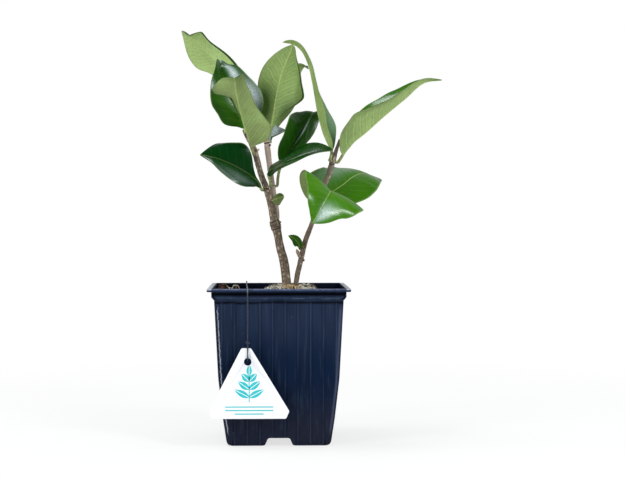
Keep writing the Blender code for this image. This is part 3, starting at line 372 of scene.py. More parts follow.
def colour_setting(name, description, shade):
    return FloatVectorProperty(name=name, description=description, subtype="COLOR", size=3,
                               min=0.0, max=1.0, default=paint(*shade))


def length_setting(name, description, default):
    return FloatProperty(name=name, description=description, default=default, min=0.0,
                         subtype="DISTANCE", unit="LENGTH", precision=5)


class PrivetPotSettings(bpy.types.PropertyGroup):
    """The pot, its tag and its cord."""
    plastic: colour_setting("Plastic", "Colour of the pot's wall", (8, 28, 56))
    # The greyer colour the wall takes towards its foot
    greyed: colour_setting("Worn plastic", "Colour of the pot's dusty lower wall", (32, 36, 53))
    # Scuffed edges; the same colour paints the highlights on the rim's tops, the collar's foot and the right
    # corner
    rim: colour_setting("Rim", "Colour of the scuffed edges of the rim", (104, 112, 142))
    # Dust specks; the same colour paints the glint on the left corner and the light on the rim's side tops
    dust_and_highlight: colour_setting("Dust", "Colour of the fine specks on the plastic", (200, 205, 215))
    flute_depth: length_setting("Flute depth", "Depth of the grooves in the pot's faces", 0.35 * MM)
    flute_width: length_setting("Flute width", "Width of the grooves in the pot's faces", 1.5 * MM)
    tag: colour_setting("Tag", "Colour of the bare tag", (244, 247, 252))
    print: colour_setting("Print", "Colour of the sprig and the ruled lines", (48, 196, 202))
    thread: colour_setting("Thread", "Colour of the cord", (50, 60, 80))


class PrivetPlantSettings(bpy.types.PropertyGroup):
    """The stems and leaves."""
    upper_dark: colour_setting("Old leaf", "Upper face of the oldest leaves", (0, 52, 8))
    upper_light: colour_setting("Young leaf", "Upper face of the youngest leaves", (66, 126, 4))
    under_dark: colour_setting("Under face, shaded", "Deepest colour of the under faces", (58, 88, 26))
    under_light: colour_setting("Under face", "Lightest colour of the under faces", (174, 202, 126))
    olive: colour_setting("Olive", "Brownish tint of ageing under faces", (124, 128, 84))
    # Painted highlight and sheen on parts of the upper faces
    painted_highlight: colour_setting("Bloom", "Colour of the waxy bloom on parts of the upper faces", (232, 248, 252))
    rib: colour_setting("Rib", "Colour of the midribs and stalks", (184, 204, 122))
    bark: colour_setting("Bark", "Lighter colour of the bark", (150, 134, 116))
    bark_dark: colour_setting("Dark bark", "Darker colour of the bark", (92, 80, 68))
    young_bark: colour_setting("Young bark", "Colour of the bark on young wood", (186, 168, 156))
    lenticel: colour_setting("Lenticels", "Colour of the pores in the bark", (224, 206, 178))
    bulge: FloatProperty(name="Bulge", description="How round each half of a blade is, by its width",
                         default=0.05, min=-0.2, max=0.2, subtype="FACTOR")
    wave: length_setting("Wave", "How far the margins of the blades wander", 0.2 * MM)


class PrivetFillingSettings(bpy.types.PropertyGroup):
    """What lies in the pot."""
    peat: colour_setting("Peat", "Darkest colour of the potting mix", (26, 20, 18))
    crumb: colour_setting("Crumbs", "Lighter colour of the crumbs of mix", (78, 60, 48))
    straw: colour_setting("Straw", "Colour of the straw", (206, 178, 134))
    fibre: colour_setting("Fibre", "Colour of the bleached fibres", (226, 226, 214))
    chip: colour_setting("Bark chip", "Colour of the bark chips", (86, 56, 48))
    crumbs: IntProperty(name="Crumbs", description="How many crumbs lie on the mix", default=700, min=0)
    strands: IntProperty(name="Strands", description="How many strands of straw there are", default=250,
                         min=1)


class PrivetStageSettings(bpy.types.PropertyGroup):
    """Camera, lamps and floor."""
    lens: FloatProperty(name="Lens", description="Focal length in millimetres", default=83.2, min=10.0)
    key: FloatProperty(name="Key lamp", description="Power of the lamp at the front left", default=4.0,
                       min=0.0, subtype="POWER", unit="POWER")
    fill: FloatProperty(name="Fill lamp", description="Power of the lamp at the front right", default=4.4,
                        min=0.0, subtype="POWER", unit="POWER")
    top: FloatProperty(name="Top lamp", description="Power of the lamp at the upper left", default=4.6,
                       min=0.0, subtype="POWER", unit="POWER")
    ambient: FloatProperty(name="Ambient", description="Strength of the light from all round", default=0.62,
                           min=0.0, subtype="FACTOR")


# ---------------------------------------------------------------- shader maths
class Signal:
    """The output of a node, for use in plain arithmetic."""

    def __init__(self, finish, socket):
        self.finish = finish
        self.socket = socket

    def _maths(self, operation, first, second):
        return self.finish.node("ShaderNodeMath", {"operation": operation}, {0: first, 1: second})

    def __add__(self, other):
        return self._maths("ADD", self, other)

    __radd__ = __add__

    def __sub__(self, other):
        return self._maths("SUBTRACT", self, other)

    def __rsub__(self, other):
        return self._maths("SUBTRACT", other, self)

    def __mul__(self, other):
        return self._maths("MULTIPLY", self, other)

    __rmul__ = __mul__

    def __truediv__(self, other):
        return self._maths("DIVIDE", self, other)


class Finish:
    """A material or a world, and the nodes that make it."""

    def __init__(self, holder):
        holder.use_nodes = True
        self.holder = holder
        self.tree = holder.node_tree

    @classmethod
    def material(cls, name, roughness=0.5, specular=0.5):
        """A new material with its plain values set."""
        finish = cls(bpy.data.materials.new(name))
        finish.shader = finish.tree.nodes["Principled BSDF"]
        finish.set("Roughness", roughness)
        finish.set("Specular IOR Level", specular)
        return finish

    def set(self, name, value):
        self._feed(self.shader.inputs[name], value)

    def _feed(self, socket, value):
        if isinstance(value, Signal):
            self.tree.links.new(value.socket, socket)
        elif socket.type == "RGBA":
            socket.default_value = (*value[:3], 1.0)
        else:
            socket.default_value = value

    def node(self, kind, settings=None, values=None, out=0):
        """Any node: its settings first, then its sockets."""
        made = self.tree.nodes.new(kind)
        for key, value in (settings or {}).items():
            setattr(made, key, value)
        for key, value in (values or {}).items():
            self._feed(made.inputs[key], value)
        return Signal(self, made.outputs[out])

    def mix(self, share, first, second):
        """The first colour, turned into the second by a share."""
        return self.node("ShaderNodeMix", {"data_type": "RGBA"}, {0: share, 6: first, 7: second}, 2)

    def ease(self, value, low, high, to_low=0.0, to_high=1.0):
        """A smooth step of a value from one level to another."""
        return self.node("ShaderNodeMapRange", {"interpolation_type": "SMOOTHSTEP"},
                         {0: value, 1: low, 2: high, 3: to_low, 4: to_high})

    def place(self):
        """Position in millimetres."""
        spot = self.node("ShaderNodeTexCoord", out=3)
        return self.stretch(spot, (1 / MM,) * 3)

    def size(self, value):
        """A value without its sign."""
        return self.node("ShaderNodeMath", {"operation": "ABSOLUTE"}, {0: value})

    def larger(self, first, second):
        return self.node("ShaderNodeMath", {"operation": "MAXIMUM"}, {0: first, 1: second})

    def smaller(self, first, second):
        return self.node("ShaderNodeMath", {"operation": "MINIMUM"}, {0: first, 1: second})

    def fold(self, value, span):
        """A value that runs up to a span and back again."""
        return self.node("ShaderNodeMath", {"operation": "PINGPONG"}, {0: value, 1: span})

    def band(self, value, middle, reach):
        """1 at a level, easing to 0 at a distance from it."""
        return self.ease(self.size(value - middle), 0.0, reach, 1.0, 0.0)

    def stretch(self, vector, scale):
        """A vector, scaled along each axis."""
        return self.node("ShaderNodeVectorMath", {"operation": "MULTIPLY"}, {0: vector, 1: scale})

    def parts(self, vector):
        """The three parts of a vector."""
        split = self.tree.nodes.new("ShaderNodeSeparateXYZ")
        self._feed(split.inputs[0], vector)
        return [Signal(self, output) for output in split.outputs]

    def record(self, name):
        """A vector that the mesh holds at each point."""
        return self.node("ShaderNodeAttribute", {"attribute_name": name}, out=1)

    def cloud(self, vector, scale, detail=3.0, rough=0.55):
        """Soft noise from 0 to 1."""
        return self.node("ShaderNodeTexNoise", None, {"Vector": vector, "Scale": scale, "Detail": detail,
                                                      "Roughness": rough})

    def cells(self, vector, scale, feature="F1"):
        """Distance to the nearest of many scattered points, or to the edges between them."""
        return self.node("ShaderNodeTexVoronoi", {"feature": feature}, {"Vector": vector, "Scale": scale})

    def relief(self, height, depth_mm):
        """Fine relief in the surface; its depth is in millimetres."""
        values = {"Strength": 1.0, "Distance": depth_mm * MM, "Height": height}
        self.set("Normal", self.node("ShaderNodeBump", None, values))

    def rays(self, kind):
        """1 for the rays of one kind, 0 for the others."""
        return self.node("ShaderNodeLightPath", out=f"Is {kind} Ray")


# ---------------------------------------------------------------- finishes
# Tints that shade a finish, as shader values
LEAF_SHADE = (0.001, 0.035, 0.008)
BARK_CREASE = (0.018, 0.011, 0.008)
PLASTIC_PAINTED_LIGHT = (0.022, 0.036, 0.075)
PLASTIC_DEEP = (0.004, 0.01, 0.026)
PLASTIC_STREAK = (0.03, 0.05, 0.085)
PLASTIC_COLLAR = (0.04, 0.068, 0.12)
PLASTIC_UNDER_COLLAR = (0.001, 0.002, 0.006)
PLASTIC_UNDER_FLANGE = (0.0, 0.001, 0.004)
PLASTIC_INSIDE_SHADE = (0.001, 0.003, 0.011)
PLASTIC_LINE = (0.035, 0.055, 0.1)
PLASTIC_GROOVE_SHADE = (0.002, 0.006, 0.018)
TAG_GREY = (0.7, 0.74, 0.84)
INK_PALE = (0.12, 0.62, 0.68)
THREAD_GAP = (0.012, 0.016, 0.026)
THREAD_WEAR_AND_LIGHT = (0.3, 0.32, 0.35)

# Where the pot's finish changes, in millimetres
COLLAR_LINE = COLLAR_FOOT - 0.4
UNDER_COLLAR = COLLAR_FOOT - 3.1
UNDER_FLANGE = POT_HEIGHT - 3.4
COLLAR_BAND = 1.5
FLANGE_BAND = 2.2
CORD_PAINTED_LIGHT_FROM = 97.0            # height from which the cord gets painted light

# Spacing of the side veins along a blade and their lean, in centimetres
VEIN_SPACING = 0.55
VEIN_LEAN = 0.62


def leaf_veins(finish):
    """Masks that follow the veins, from the place of each point on its blade in centimetres."""
    across, run, _ = finish.parts(finish.record("blade_place"))
    reach, painted_highlight, pale = finish.parts(finish.record("blade_share"))
    off = finish.size(across)
    edge = finish.size(reach)
    flat = finish.node("ShaderNodeCombineXYZ", None, {0: across, 1: run})
    drift = finish.cloud(flat, 1.6, 2.0) - 0.5
    wave = finish.fold((run - off * VEIN_LEAN + drift * 0.25) / VEIN_SPACING, 0.5)
    inner = finish.ease(edge, 0.62, 0.95, 1.0, 0.0)
    net = finish.ease(finish.cells(flat, 7.0, "DISTANCE_TO_EDGE"), 0.0, 0.12, 1.0, 0.0)
    return {
        "vein": finish.ease(wave, 0.0, 0.12, 1.0, 0.0) * inner,
        # Painted shade beside each vein
        "painted_vein_shade": finish.band(wave, 0.2, 0.14) * inner,
        "rib": finish.ease(off, 0.01, 0.055, 1.0, 0.0),
        "margin": finish.ease(edge, 0.93, 0.99),
        "net": net,
        "pale": pale,
        "painted_highlight": painted_highlight,
    }


def upper_leaf(plant):
    """The glossy upper face."""
    finish = Finish.material("leaf_upper", specular=0.42)
    at = leaf_veins(finish)
    light, _, _ = finish.parts(finish.record("leaf_tone"))
    spot = finish.place()
    cloud = finish.cloud(spot, 0.06, 4.0)
    base = finish.mix(light, plant.upper_dark, plant.upper_light)
    base = finish.mix(finish.ease(cloud, 0.35, 0.75) * 0.3, base, finish.mix(0.5, base, LEAF_SHADE))
    base = finish.mix(at["vein"] * (0.01 + light * 0.06), base, plant.rib)
    base = finish.mix(at["rib"] * at["pale"], base, plant.rib)
    base = finish.mix(at["margin"] * 0.22, base, plant.under_light)
    grain = finish.cloud(spot, 2.6, 2.0)
    speckle = finish.ease(grain, 0.36, 0.58, 0.3, 1.0)
    # Painted highlight and sheen, speckled, on the patches each leaf lists
    base = finish.mix(at["painted_highlight"] * speckle, base, plant.painted_highlight)
    finish.set("Base Color", base)
    finish.set("Roughness", 0.17 + grain * 0.11)
    finish.relief(grain * 0.2 - at["rib"] * 0.5 - at["vein"] * 0.08 + at["net"] * -0.05, 0.16)
    return finish.holder


def under_leaf(plant):
    """The matt, paler under face."""
    finish = Finish.material("leaf_under", roughness=0.55, specular=0.3)
    at = leaf_veins(finish)
    _, light, brown = finish.parts(finish.record("leaf_tone"))
    spot = finish.place()
    cloud = finish.cloud(spot, 0.07, 4.0)
    mottle = finish.cloud(spot, 0.45, 3.0)
    base = finish.mix(light, plant.under_dark, plant.under_light)
    base = finish.mix(finish.ease(cloud, 0.3, 0.75) * 0.25, base, finish.mix(0.35, base, plant.under_dark))
    base = finish.mix(finish.ease(mottle, 0.4, 0.7) * 0.16, base, plant.under_dark)
    base = finish.mix(brown * finish.ease(cloud, 0.3, 0.6), base, plant.olive)
    base = finish.mix(at["net"] * 0.12, base, plant.under_dark)
    # Painted shade beside each vein
    base = finish.mix(at["painted_vein_shade"] * 0.14, base, plant.under_dark)
    base = finish.mix(at["vein"] * (0.36 - brown * 0.35) * finish.ease(light, 0.2, 0.7), base, plant.rib)
    base = finish.mix(at["rib"] * (0.6 - brown * 0.48), base, plant.rib)
    base = finish.mix(at["margin"] * 0.4, base, plant.upper_dark)
    finish.set("Base Color", base)
    finish.relief(finish.cloud(spot, 1.8, 2.0) * 0.12 + at["vein"] * 0.45 + at["net"] * 0.12, 0.2)
    return finish.holder


def leaf_stalk(plant):
    """Green stalks with a brown tinge."""
    finish = Finish.material("leaf_stalk", roughness=0.45)
    cloud = finish.cloud(finish.stretch(finish.place(), (1.0, 1.0, 0.3)), 0.6, 3.0)
    base = finish.mix(finish.ease(cloud, 0.35, 0.7), plant.rib, plant.under_dark)
    finish.set("Base Color", finish.mix(0.35, base, plant.bark))
    finish.relief(cloud, 0.15)
    return finish.holder


def stem_bark(plant):
    """Thin bark: grey-brown, finely split along the stem, with pale pores."""
    finish = Finish.material("stem_bark", roughness=0.75, specular=0.25)
    spot = finish.place()
    pore, crease, young = finish.parts(finish.record("bark_marks"))
    split = finish.cloud(finish.stretch(spot, (1.0, 1.0, 0.4)), 1.7, 5.0, 0.65)
    blotch = finish.cloud(spot, 0.28, 3.0)
    base = finish.mix(finish.ease(split, 0.36, 0.66), plant.bark_dark, plant.bark)
    base = finish.mix(finish.ease(blotch, 0.4, 0.75) * 0.45, base, finish.mix(0.5, base, plant.bark_dark))
    base = finish.mix(young, base, finish.mix(split * 0.5, plant.young_bark, plant.bark))
    base = finish.mix(pore, base, plant.lenticel)
    base = finish.mix(crease, base, BARK_CREASE)
    finish.set("Base Color", base)
    finish.relief(split * 0.6 + blotch * 0.3, 0.22)
    return finish.holder


def pot_plastic(pot):
    """Moulded plastic: navy, painted light above, greyer below, scuffed with painted highlights at the rim,
    lined and specked.
    """
    finish = Finish.material("pot_plastic", specular=0.12)
    spot = finish.place()
    left, y, high = finish.parts(spot)
    x, y = finish.size(left), finish.size(y)
    far, near = finish.larger(x, y), finish.smaller(x, y)
    cloud = finish.cloud(finish.stretch(spot, (1.0, 1.0, 0.35)), 0.05, 4.0)
    streak = finish.cloud(finish.stretch(spot, (1.0, 1.0, 0.03)), 0.5, 3.0)
    ripple = finish.cloud(finish.stretch(spot, (0.25, 0.25, 1.0)), 0.35, 2.0)
    blotch = cloud - 0.5
    wavy = high + (ripple - 0.5) * 2.4

    # The wall: greyer below, painted light above, with dark clouds and upright streaks
    base = finish.mix(finish.ease(high + blotch * 30.0, 10.0, 44.0, 1.0, 0.0), pot.plastic, pot.greyed)
    base = finish.mix(finish.ease(high + blotch * 40.0, 50.0, 84.0) * 0.6, base, PLASTIC_PAINTED_LIGHT)
    base = finish.mix(finish.ease(cloud, 0.45, 0.7) * 0.4, base, PLASTIC_DEEP)
    base = finish.mix(finish.ease(streak, 0.52, 0.7) * 0.3, base, PLASTIC_STREAK)

    # The collar's lit foot, the shadows under it and under the flange
    collar = finish.band(wavy, COLLAR_LINE, COLLAR_BAND) * finish.ease(streak, 0.3, 0.65, 0.2, 0.5)
    base = finish.mix(collar, base, PLASTIC_COLLAR)
    lip = finish.band(high, COLLAR_LINE, 0.5) * finish.ease(ripple, 0.5, 0.66)
    base = finish.mix(lip * 0.4, base, pot.rim)
    base = finish.mix(finish.band(wavy, UNDER_COLLAR, COLLAR_BAND) * 0.92, base, PLASTIC_UNDER_COLLAR)
    flange = finish.band(high + (ripple - 0.5) * 0.8, UNDER_FLANGE, FLANGE_BAND)
    base = finish.mix(flange, base, PLASTIC_UNDER_FLANGE)

    # The inside, darkened with painted shade; the scuffed rim edges with painted light on their tops,
    # whitest at the sides; and a lighter edge at the foot
    # Painted shade inside the pot's mouth
    inside = finish.ease(far, 41.9, 41.5) * finish.ease(high, 93.2, 93.6)
    base = finish.mix(inside * 0.85, base, PLASTIC_INSIDE_SHADE)
    rim = finish.ease(high + blotch * 0.8, 98.9, 99.5) * finish.ease(far, 41.6, 42.2)
    base = finish.mix(rim * finish.ease(streak + ripple, 0.8, 1.15, 0.35, 0.75), base, pot.rim)
    base = finish.mix(rim * finish.ease(x, 41.6, 43.0) * 0.75, base, pot.dust_and_highlight)
    base = finish.mix(finish.ease(high + blotch * 1.2, 0.9, 0.3) * 0.5, base, pot.rim)

    # Fine pale lines in the grooves and painted shade beside them
    groove = finish.fold(near - FLUTES[0], (FLUTES[1] - FLUTES[0]) / 2)
    below_collar = finish.ease(high, 93.0, 90.0)
    line = finish.ease(groove, 0.05, 0.5, 1.0, 0.0) * finish.ease(streak, 0.3, 0.6) * below_collar
    base = finish.mix(line * 0.5, base, PLASTIC_LINE)
    base = finish.mix(finish.band(groove, 1.0, 0.8) * below_collar * 0.3, base, PLASTIC_GROOVE_SHADE)

    # A sharp glint along the left corner and a soft one along the right
    diagonal = x - y
    wander = finish.cloud(finish.stretch(spot, (0.0, 0.0, 1.0)), 0.3, 3.0) - 0.5
    corner = finish.band(diagonal + 1.2 + wander * 4.0, 0.0, 0.9) * finish.ease(far, 29.0, 31.0)
    walls = finish.ease(high, 6.0, 12.0) * finish.ease(high, 91.0, 84.0)
    glint = corner * walls * finish.ease(left, -20.0, -24.0) * finish.ease(ripple, 0.2, 0.5)
    base = finish.mix(glint * 0.6, base, pot.dust_and_highlight)
    soft = finish.band(diagonal + 0.8, 0.0, 2.4) * walls * finish.ease(left, 20.0, 24.0)
    base = finish.mix(soft * 0.3, base, pot.rim)

    # Specks of dust, thick in some places
    speck = finish.ease(finish.cells(spot, 0.3), 0.0, 0.085, 1.0, 0.0)
    seldom = finish.ease(finish.cloud(spot, 0.16, 2.0), 0.54, 0.62)
    base = finish.mix(speck * seldom * 0.5, base, pot.dust_and_highlight)
    finish.set("Base Color", base)
    finish.set("Roughness", 0.28 + cloud * 0.18 + inside * 0.3)
    grain = finish.cloud(spot, 2.2, 3.0)
    wave = finish.cloud(finish.stretch(spot, (1.0, 1.0, 0.5)), 0.14, 2.0)
    finish.relief(grain * 0.1 + streak * 0.25 + wave * 3.0, 0.22)
    return finish.holder


def peat(filling):
    """Damp, dark, lumpy potting mix."""
    finish = Finish.material("potting_mix", roughness=0.95, specular=0.15)
    spot = finish.place()
    lump = finish.cells(spot, 0.55)
    cloud = finish.cloud(spot, 0.5, 5.0, 0.65)
    base = finish.mix(finish.ease(cloud, 0.4, 0.75), filling.peat, filling.crumb)
    finish.set("Base Color", finish.mix(finish.ease(lump, 0.2, 0.8) * 0.6, base, filling.peat))
    finish.relief(cloud - lump * 0.5, 1.0)
    return finish.holder


def crumbs_finish(filling):
    """Crumbs of mix, some of them red with bark."""
    finish = Finish.material("mix_crumbs", roughness=0.9, specular=0.2)
    tone, red, _ = finish.parts(finish.record("bit_tone"))
    cloud = finish.cloud(finish.place(), 1.2, 4.0)
    base = finish.mix(tone, filling.peat, filling.crumb)
    base = finish.mix(red * 0.7, base, filling.chip)
    finish.set("Base Color", finish.mix(finish.ease(cloud, 0.4, 0.7) * 0.4, base, filling.peat))
    finish.relief(cloud, 0.4)
    return finish.holder


def straw_finish(filling):
    """Straw and bleached fibre, darkened in places; on the straw and its mound the dark is painted shade."""
    finish = Finish.material("straw_strands", roughness=0.7, specular=0.3)
    tone, dark, _ = finish.parts(finish.record("bit_tone"))
    cloud = finish.cloud(finish.place(), 1.1, 4.0)
    base = finish.mix(tone, filling.straw, filling.fibre)
    base = finish.mix(finish.ease(cloud, 0.45, 0.75) * 0.35, base, filling.crumb)
    finish.set("Base Color", finish.mix(dark, base, filling.crumb))
    finish.relief(cloud, 0.25)
    return finish.holder


def chip_finish(filling):
    """Torn bark in thin layers with pale edges."""
    finish = Finish.material("bark_chips", roughness=0.85, specular=0.2)
    tone, _, _ = finish.parts(finish.record("bit_tone"))
    layer = finish.cloud(finish.stretch(finish.place(), (0.5, 0.5, 2.6)), 0.8, 5.0, 0.65)
    base = finish.mix(finish.ease(layer, 0.35, 0.65), filling.peat, filling.chip)
    finish.set("Base Color", finish.mix(tone * finish.ease(layer, 0.55, 0.68), base, filling.fibre))
    finish.relief(layer, 0.6)
    return finish.holder


def tag_plastic(pot):
    """Satin white plastic, faintly clouded."""
    finish = Finish.material("tag_plastic", specular=0.4)
    spot = finish.place()
    cloud = finish.cloud(spot, 0.08, 3.0)
    finish.set("Base Color", finish.mix(finish.ease(cloud, 0.3, 0.8) * 0.12, pot.tag, TAG_GREY))
    finish.set("Roughness", 0.34 + cloud * 0.14)
    finish.relief(finish.cloud(spot, 1.6, 2.0), 0.03)
    return finish.holder


def tag_ink(pot):
    """Teal ink, laid on a little unevenly."""
    finish = Finish.material("tag_ink", specular=0.4)
    cloud = finish.cloud(finish.place(), 1.4, 3.0)
    finish.set("Base Color", finish.mix(finish.ease(cloud, 0.4, 0.75) * 0.2, pot.print, INK_PALE))
    finish.relief(cloud, 0.02)
    return finish.holder


def thread(pot):
    """Twisted thread with dark gaps between its strands, with painted light over the pot's mouth."""
    finish = Finish.material("cord_thread", roughness=0.6, specular=0.4)
    turn, _, _ = finish.parts(finish.record("twist"))
    spot = finish.place()
    _, _, high = finish.parts(spot)
    cloud = finish.cloud(spot, 2.5, 3.0)
    # Painted light on the cord where it lies over the rim
    bleached = finish.ease(high, CORD_PAINTED_LIGHT_FROM, CORD_PAINTED_LIGHT_FROM + 2.0)
    base = finish.mix(turn, THREAD_GAP, pot.thread)
    # Grey wear in clouds, and the painted light over the rim
    greyed = finish.ease(cloud, 0.45, 0.75) * 0.3 + bleached * 0.45
    finish.set("Base Color", finish.mix(greyed, base, THREAD_WEAR_AND_LIGHT))
    finish.relief(cloud, 0.08)
    return finish.holder


# ---------------------------------------------------------------- shapes
def metres(points):
    """Places given from the pot's axis in millimetres, as places in the scene."""
    return np.asarray(points, float) * MM + AXIS


def rough(points, scale, seed=0.0):
    """Smooth noise from -1 to 1 at each point, in lumps of a size."""
    shift = Vector((seed * 7.13, seed * 3.7, seed * 1.9))
    return np.array([noise.noise(Vector(p) / scale + shift) for p in np.asarray(points).reshape(-1, 3)])


def unit(vectors):
    """Vectors of length 1 that point the same way."""
    return vectors / np.maximum(np.linalg.norm(vectors, axis=-1, keepdims=True), 1e-12)


def smooth_course(rows, at):
    """Rows of numbers read off a smooth curve through them, at fractions of its length."""
    rows = np.array(rows, float)
    spans = np.linalg.norm(np.diff(rows[:, :3], axis=0), axis=1)[:, None] ** 0.5
    slopes = np.diff(rows, axis=0) / spans
    middle = (slopes[:-1] * spans[1:] + slopes[1:] * spans[:-1]) / (spans[1:] + spans[:-1])
    slopes_at = np.vstack([slopes[:1], middle, slopes[-1:]])
    s = np.linspace(0, 1, 20, endpoint=False)[:, None]
    fine = []
    for start, end, leave, arrive, span in zip(rows, rows[1:], slopes_at, slopes_at[1:], spans):
        fine.append((2 * s ** 3 - 3 * s ** 2 + 1) * start + (3 * s ** 2 - 2 * s ** 3) * end
                    + span * ((s ** 3 - 2 * s ** 2 + s) * leave + (s ** 3 - s ** 2) * arrive))
    fine = np.vstack(fine + [rows[-1:]])
    steps = np.linalg.norm(np.diff(fine[:, :3], axis=0), axis=1)
    run = np.concatenate([[0], np.cumsum(steps)])
    return np.column_stack([np.interp(np.asarray(at) * run[-1], run, column) for column in fine.T]), run[-1]


def eased(rows, at):
    """Columns of numbers at even steps, read smoothly at shares from 0 to 1."""
    rows = np.array(rows, float)
    steps = np.arange(len(rows))
    padded = np.vstack([2 * rows[0] - rows[1], rows, 2 * rows[-1] - rows[-2]])
    where = np.clip(np.asarray(at), 0, 1) * (len(rows) - 1)
    low = np.minimum(where.astype(int), len(rows) - 2)
    s = (where - steps[low])[:, None]
    before, start, end, after = (padded[low + k] for k in range(4))
    leave, arrive = (end - before) / 2, (after - start) / 2
    return ((2 * s ** 3 - 3 * s ** 2 + 1) * start + (3 * s ** 2 - 2 * s ** 3) * end
            + (s ** 3 - 2 * s ** 2 + s) * leave + (s ** 3 - s ** 2) * arrive)


class Heap:
    """Closed skins gathered into one mesh, with what each point records."""

    def __init__(self):
        self.points = []
        self.faces = []
        self.kinds = []
        self.records = {}
        self.count = 0

    def skin(self, rings, kinds=None, **records):
        """A closed skin over rings (rows, around, 3) in millimetres, with flat ends."""
        rings = np.asarray(rings, float)
        rows, around = rings.shape[:2]
        index = np.arange(rows * around).reshape(rows, around) + self.count
        right = np.roll(index, -1, axis=1)
        quads = np.stack([index[:-1], right[:-1], right[1:], index[1:]], axis=-1).reshape(-1, 4)
        self.points.append(rings.reshape(-1, 3))
        self.faces += quads.tolist() + [index[0][::-1].tolist(), index[-1].tolist()]
        kinds = np.zeros((rows - 1, around), int) if kinds is None else np.asarray(kinds)
        self.kinds += kinds.ravel().tolist() + [int(kinds[0, 0]), int(kinds[-1, 0])]
        for name, values in records.items():
            spread = np.broadcast_to(np.asarray(values, float), (rows, around, 3)).reshape(-1, 3)
            self.records.setdefault(name, []).append(spread)
        self.count += rows * around

    def build(self, name, finishes, sharp):
        """The skins as one piece of the scene."""
        mesh = bpy.data.meshes.new(name)
        mesh.from_pydata((np.vstack(self.points) * MM).tolist(), [], self.faces)
        mesh.polygons.foreach_set("material_index", self.kinds)
        for key, values in self.records.items():
            layer = mesh.attributes.new(key, "FLOAT_VECTOR", "POINT")
            layer.data.foreach_set("vector", np.vstack(values).astype(np.float32).ravel())
        return finished(name, mesh, finishes, sharp)


def finished(name, mesh, finishes, sharp):
    """A mesh with its faces turned outwards, shaded, given its finishes and put in the scene."""
    bm = bmesh.new()
    bm.from_mesh(mesh)
    bmesh.ops.recalc_face_normals(bm, faces=bm.faces)
    if bm.calc_volume(signed=True) < 0:
        bmesh.ops.reverse_faces(bm, faces=bm.faces)
    bm.to_mesh(mesh)
    bm.free()
    mesh.shade_smooth()
    mesh.set_sharp_from_angle(angle=math.radians(sharp))
    for finish in finishes:
        mesh.materials.append(finish)
    obj = bpy.data.objects.new(name, mesh)
    obj.location = AXIS
    bpy.context.scene.collection.objects.link(obj)
    return obj


def settle(obj, slot, *nodes):
    """The piece stands for its solids and rides on the plant's one body."""
    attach(obj, "root")
    if nodes:
        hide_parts(*nodes)
    return obj


def along_course(course):
    """Direction of a course and two directions square to it, without twist."""
    ahead = np.vstack([course[1:], 2 * course[-1] - course[-2]])
    behind = np.vstack([2 * course[0] - course[1], course[:-1]])
    along = unit(ahead - behind)
    side = np.cross(along[0], (0.31, 0.17, 0.94))
    sides = []
    for direction in along:
        side = unit(side - side.dot(direction) * direction)
        sides.append(side)
    sides = np.array(sides)
    return along, sides, np.cross(along, sides)


def angles_round(count):
    """Even angles round a circle."""
    return 2 * np.pi * np.arange(count) / count


def circle(x, y, diameter, count):
    """Points round a circle in a plane."""
    return [(x + diameter / 2 * math.cos(a), y + diameter / 2 * math.sin(a)) for a in angles_round(count)]


def tube(course, radius, around):
    """Rings round a course; radius may differ along it and round it."""
    _, side, up = along_course(course)
    angles = angles_round(around)
    radius = np.broadcast_to(np.asarray(radius, float), (len(course), around))[..., None]
    return course[:, None] + radius * (np.cos(angles)[None, :, None] * side[:, None]
                                       + np.sin(angles)[None, :, None] * up[:, None])


# ---------------------------------------------------------------- stems
def stem_at(name, height):
    """Centre, radius and direction of a stem at a height."""
    course, _ = smooth_course(STEMS[name], np.linspace(0, 1, 400))
    index = int(np.argmin(abs(course[:, 2] - height)))
    before = max(index - 3, 0)
    after = min(index + 3, len(course) - 1)
    return course[index, :3], course[index, 3], unit(course[after, :3] - course[before, :3])


def add_stem(heap, rows, seed, pores, rings=(), youth=(0.0, 0.0), age=(0.0, 0.0)):
    """One stem with split bark, raised pores and ring scars at the given heights."""
    count = 420
    around = 28
    draw = np.random.default_rng(seed)
    at = np.linspace(0, 1, count)
    course, length = smooth_course(rows, at)
    _, side, up = along_course(course[:, :3])
    angles = angles_round(around)
    out = np.cos(angles)[None, :, None] * side[:, None] + np.sin(angles)[None, :, None] * up[:, None]
    skin = course[:, None, :3] + course[:, None, 3:] * out
    lumps = 0.14 * rough(skin * (1, 1, 0.5), 2.6, seed).reshape(count, around)
    lumps += 0.07 * rough(skin * (1, 1, 0.3), 0.8, seed + 3).reshape(count, around)
    run = (at * length)[:, None]
    pore = np.zeros((count, around))
    columns = draw.uniform(0, 2 * np.pi, 5)
    for _ in range(pores):
        where = draw.uniform(0.16, 0.97) * length
        turn = columns[draw.integers(5)] + draw.normal(0, 0.16)
        high, wide = draw.uniform(0.35, 0.75), draw.uniform(0.22, 0.4)
        arc = course[:, None, 3] * np.angle(np.exp(1j * (angles[None] - turn)))
        pore = np.maximum(pore, np.exp(-((run - where) / high) ** 2 - (arc / wide) ** 2))
    crease = np.zeros((count, around))
    swell = np.zeros((count, around))
    for height, depth, width in rings:
        tilt = height + 0.5 * np.sin(angles + height)[None]
        band = np.exp(-((course[:, None, 2] - tilt) / width) ** 2)
        crease = np.maximum(crease, band * min(1.0, max(0.0, depth) / 0.3))
        swell -= depth * band
    skin = skin + (lumps + 0.16 * pore + swell)[..., None] * out
    young = np.interp(at, (0, 1), youth)[:, None] * np.ones((1, around))
    weathered = np.interp(at, (0, 1), age)[:, None] * (0.8 + 0.8 * lumps / 0.14)
    marks = np.stack([pore ** 0.7, np.maximum(crease, np.clip(weathered, 0, 1)), young], axis=-1)
    heap.skin(skin, bark_marks=marks)


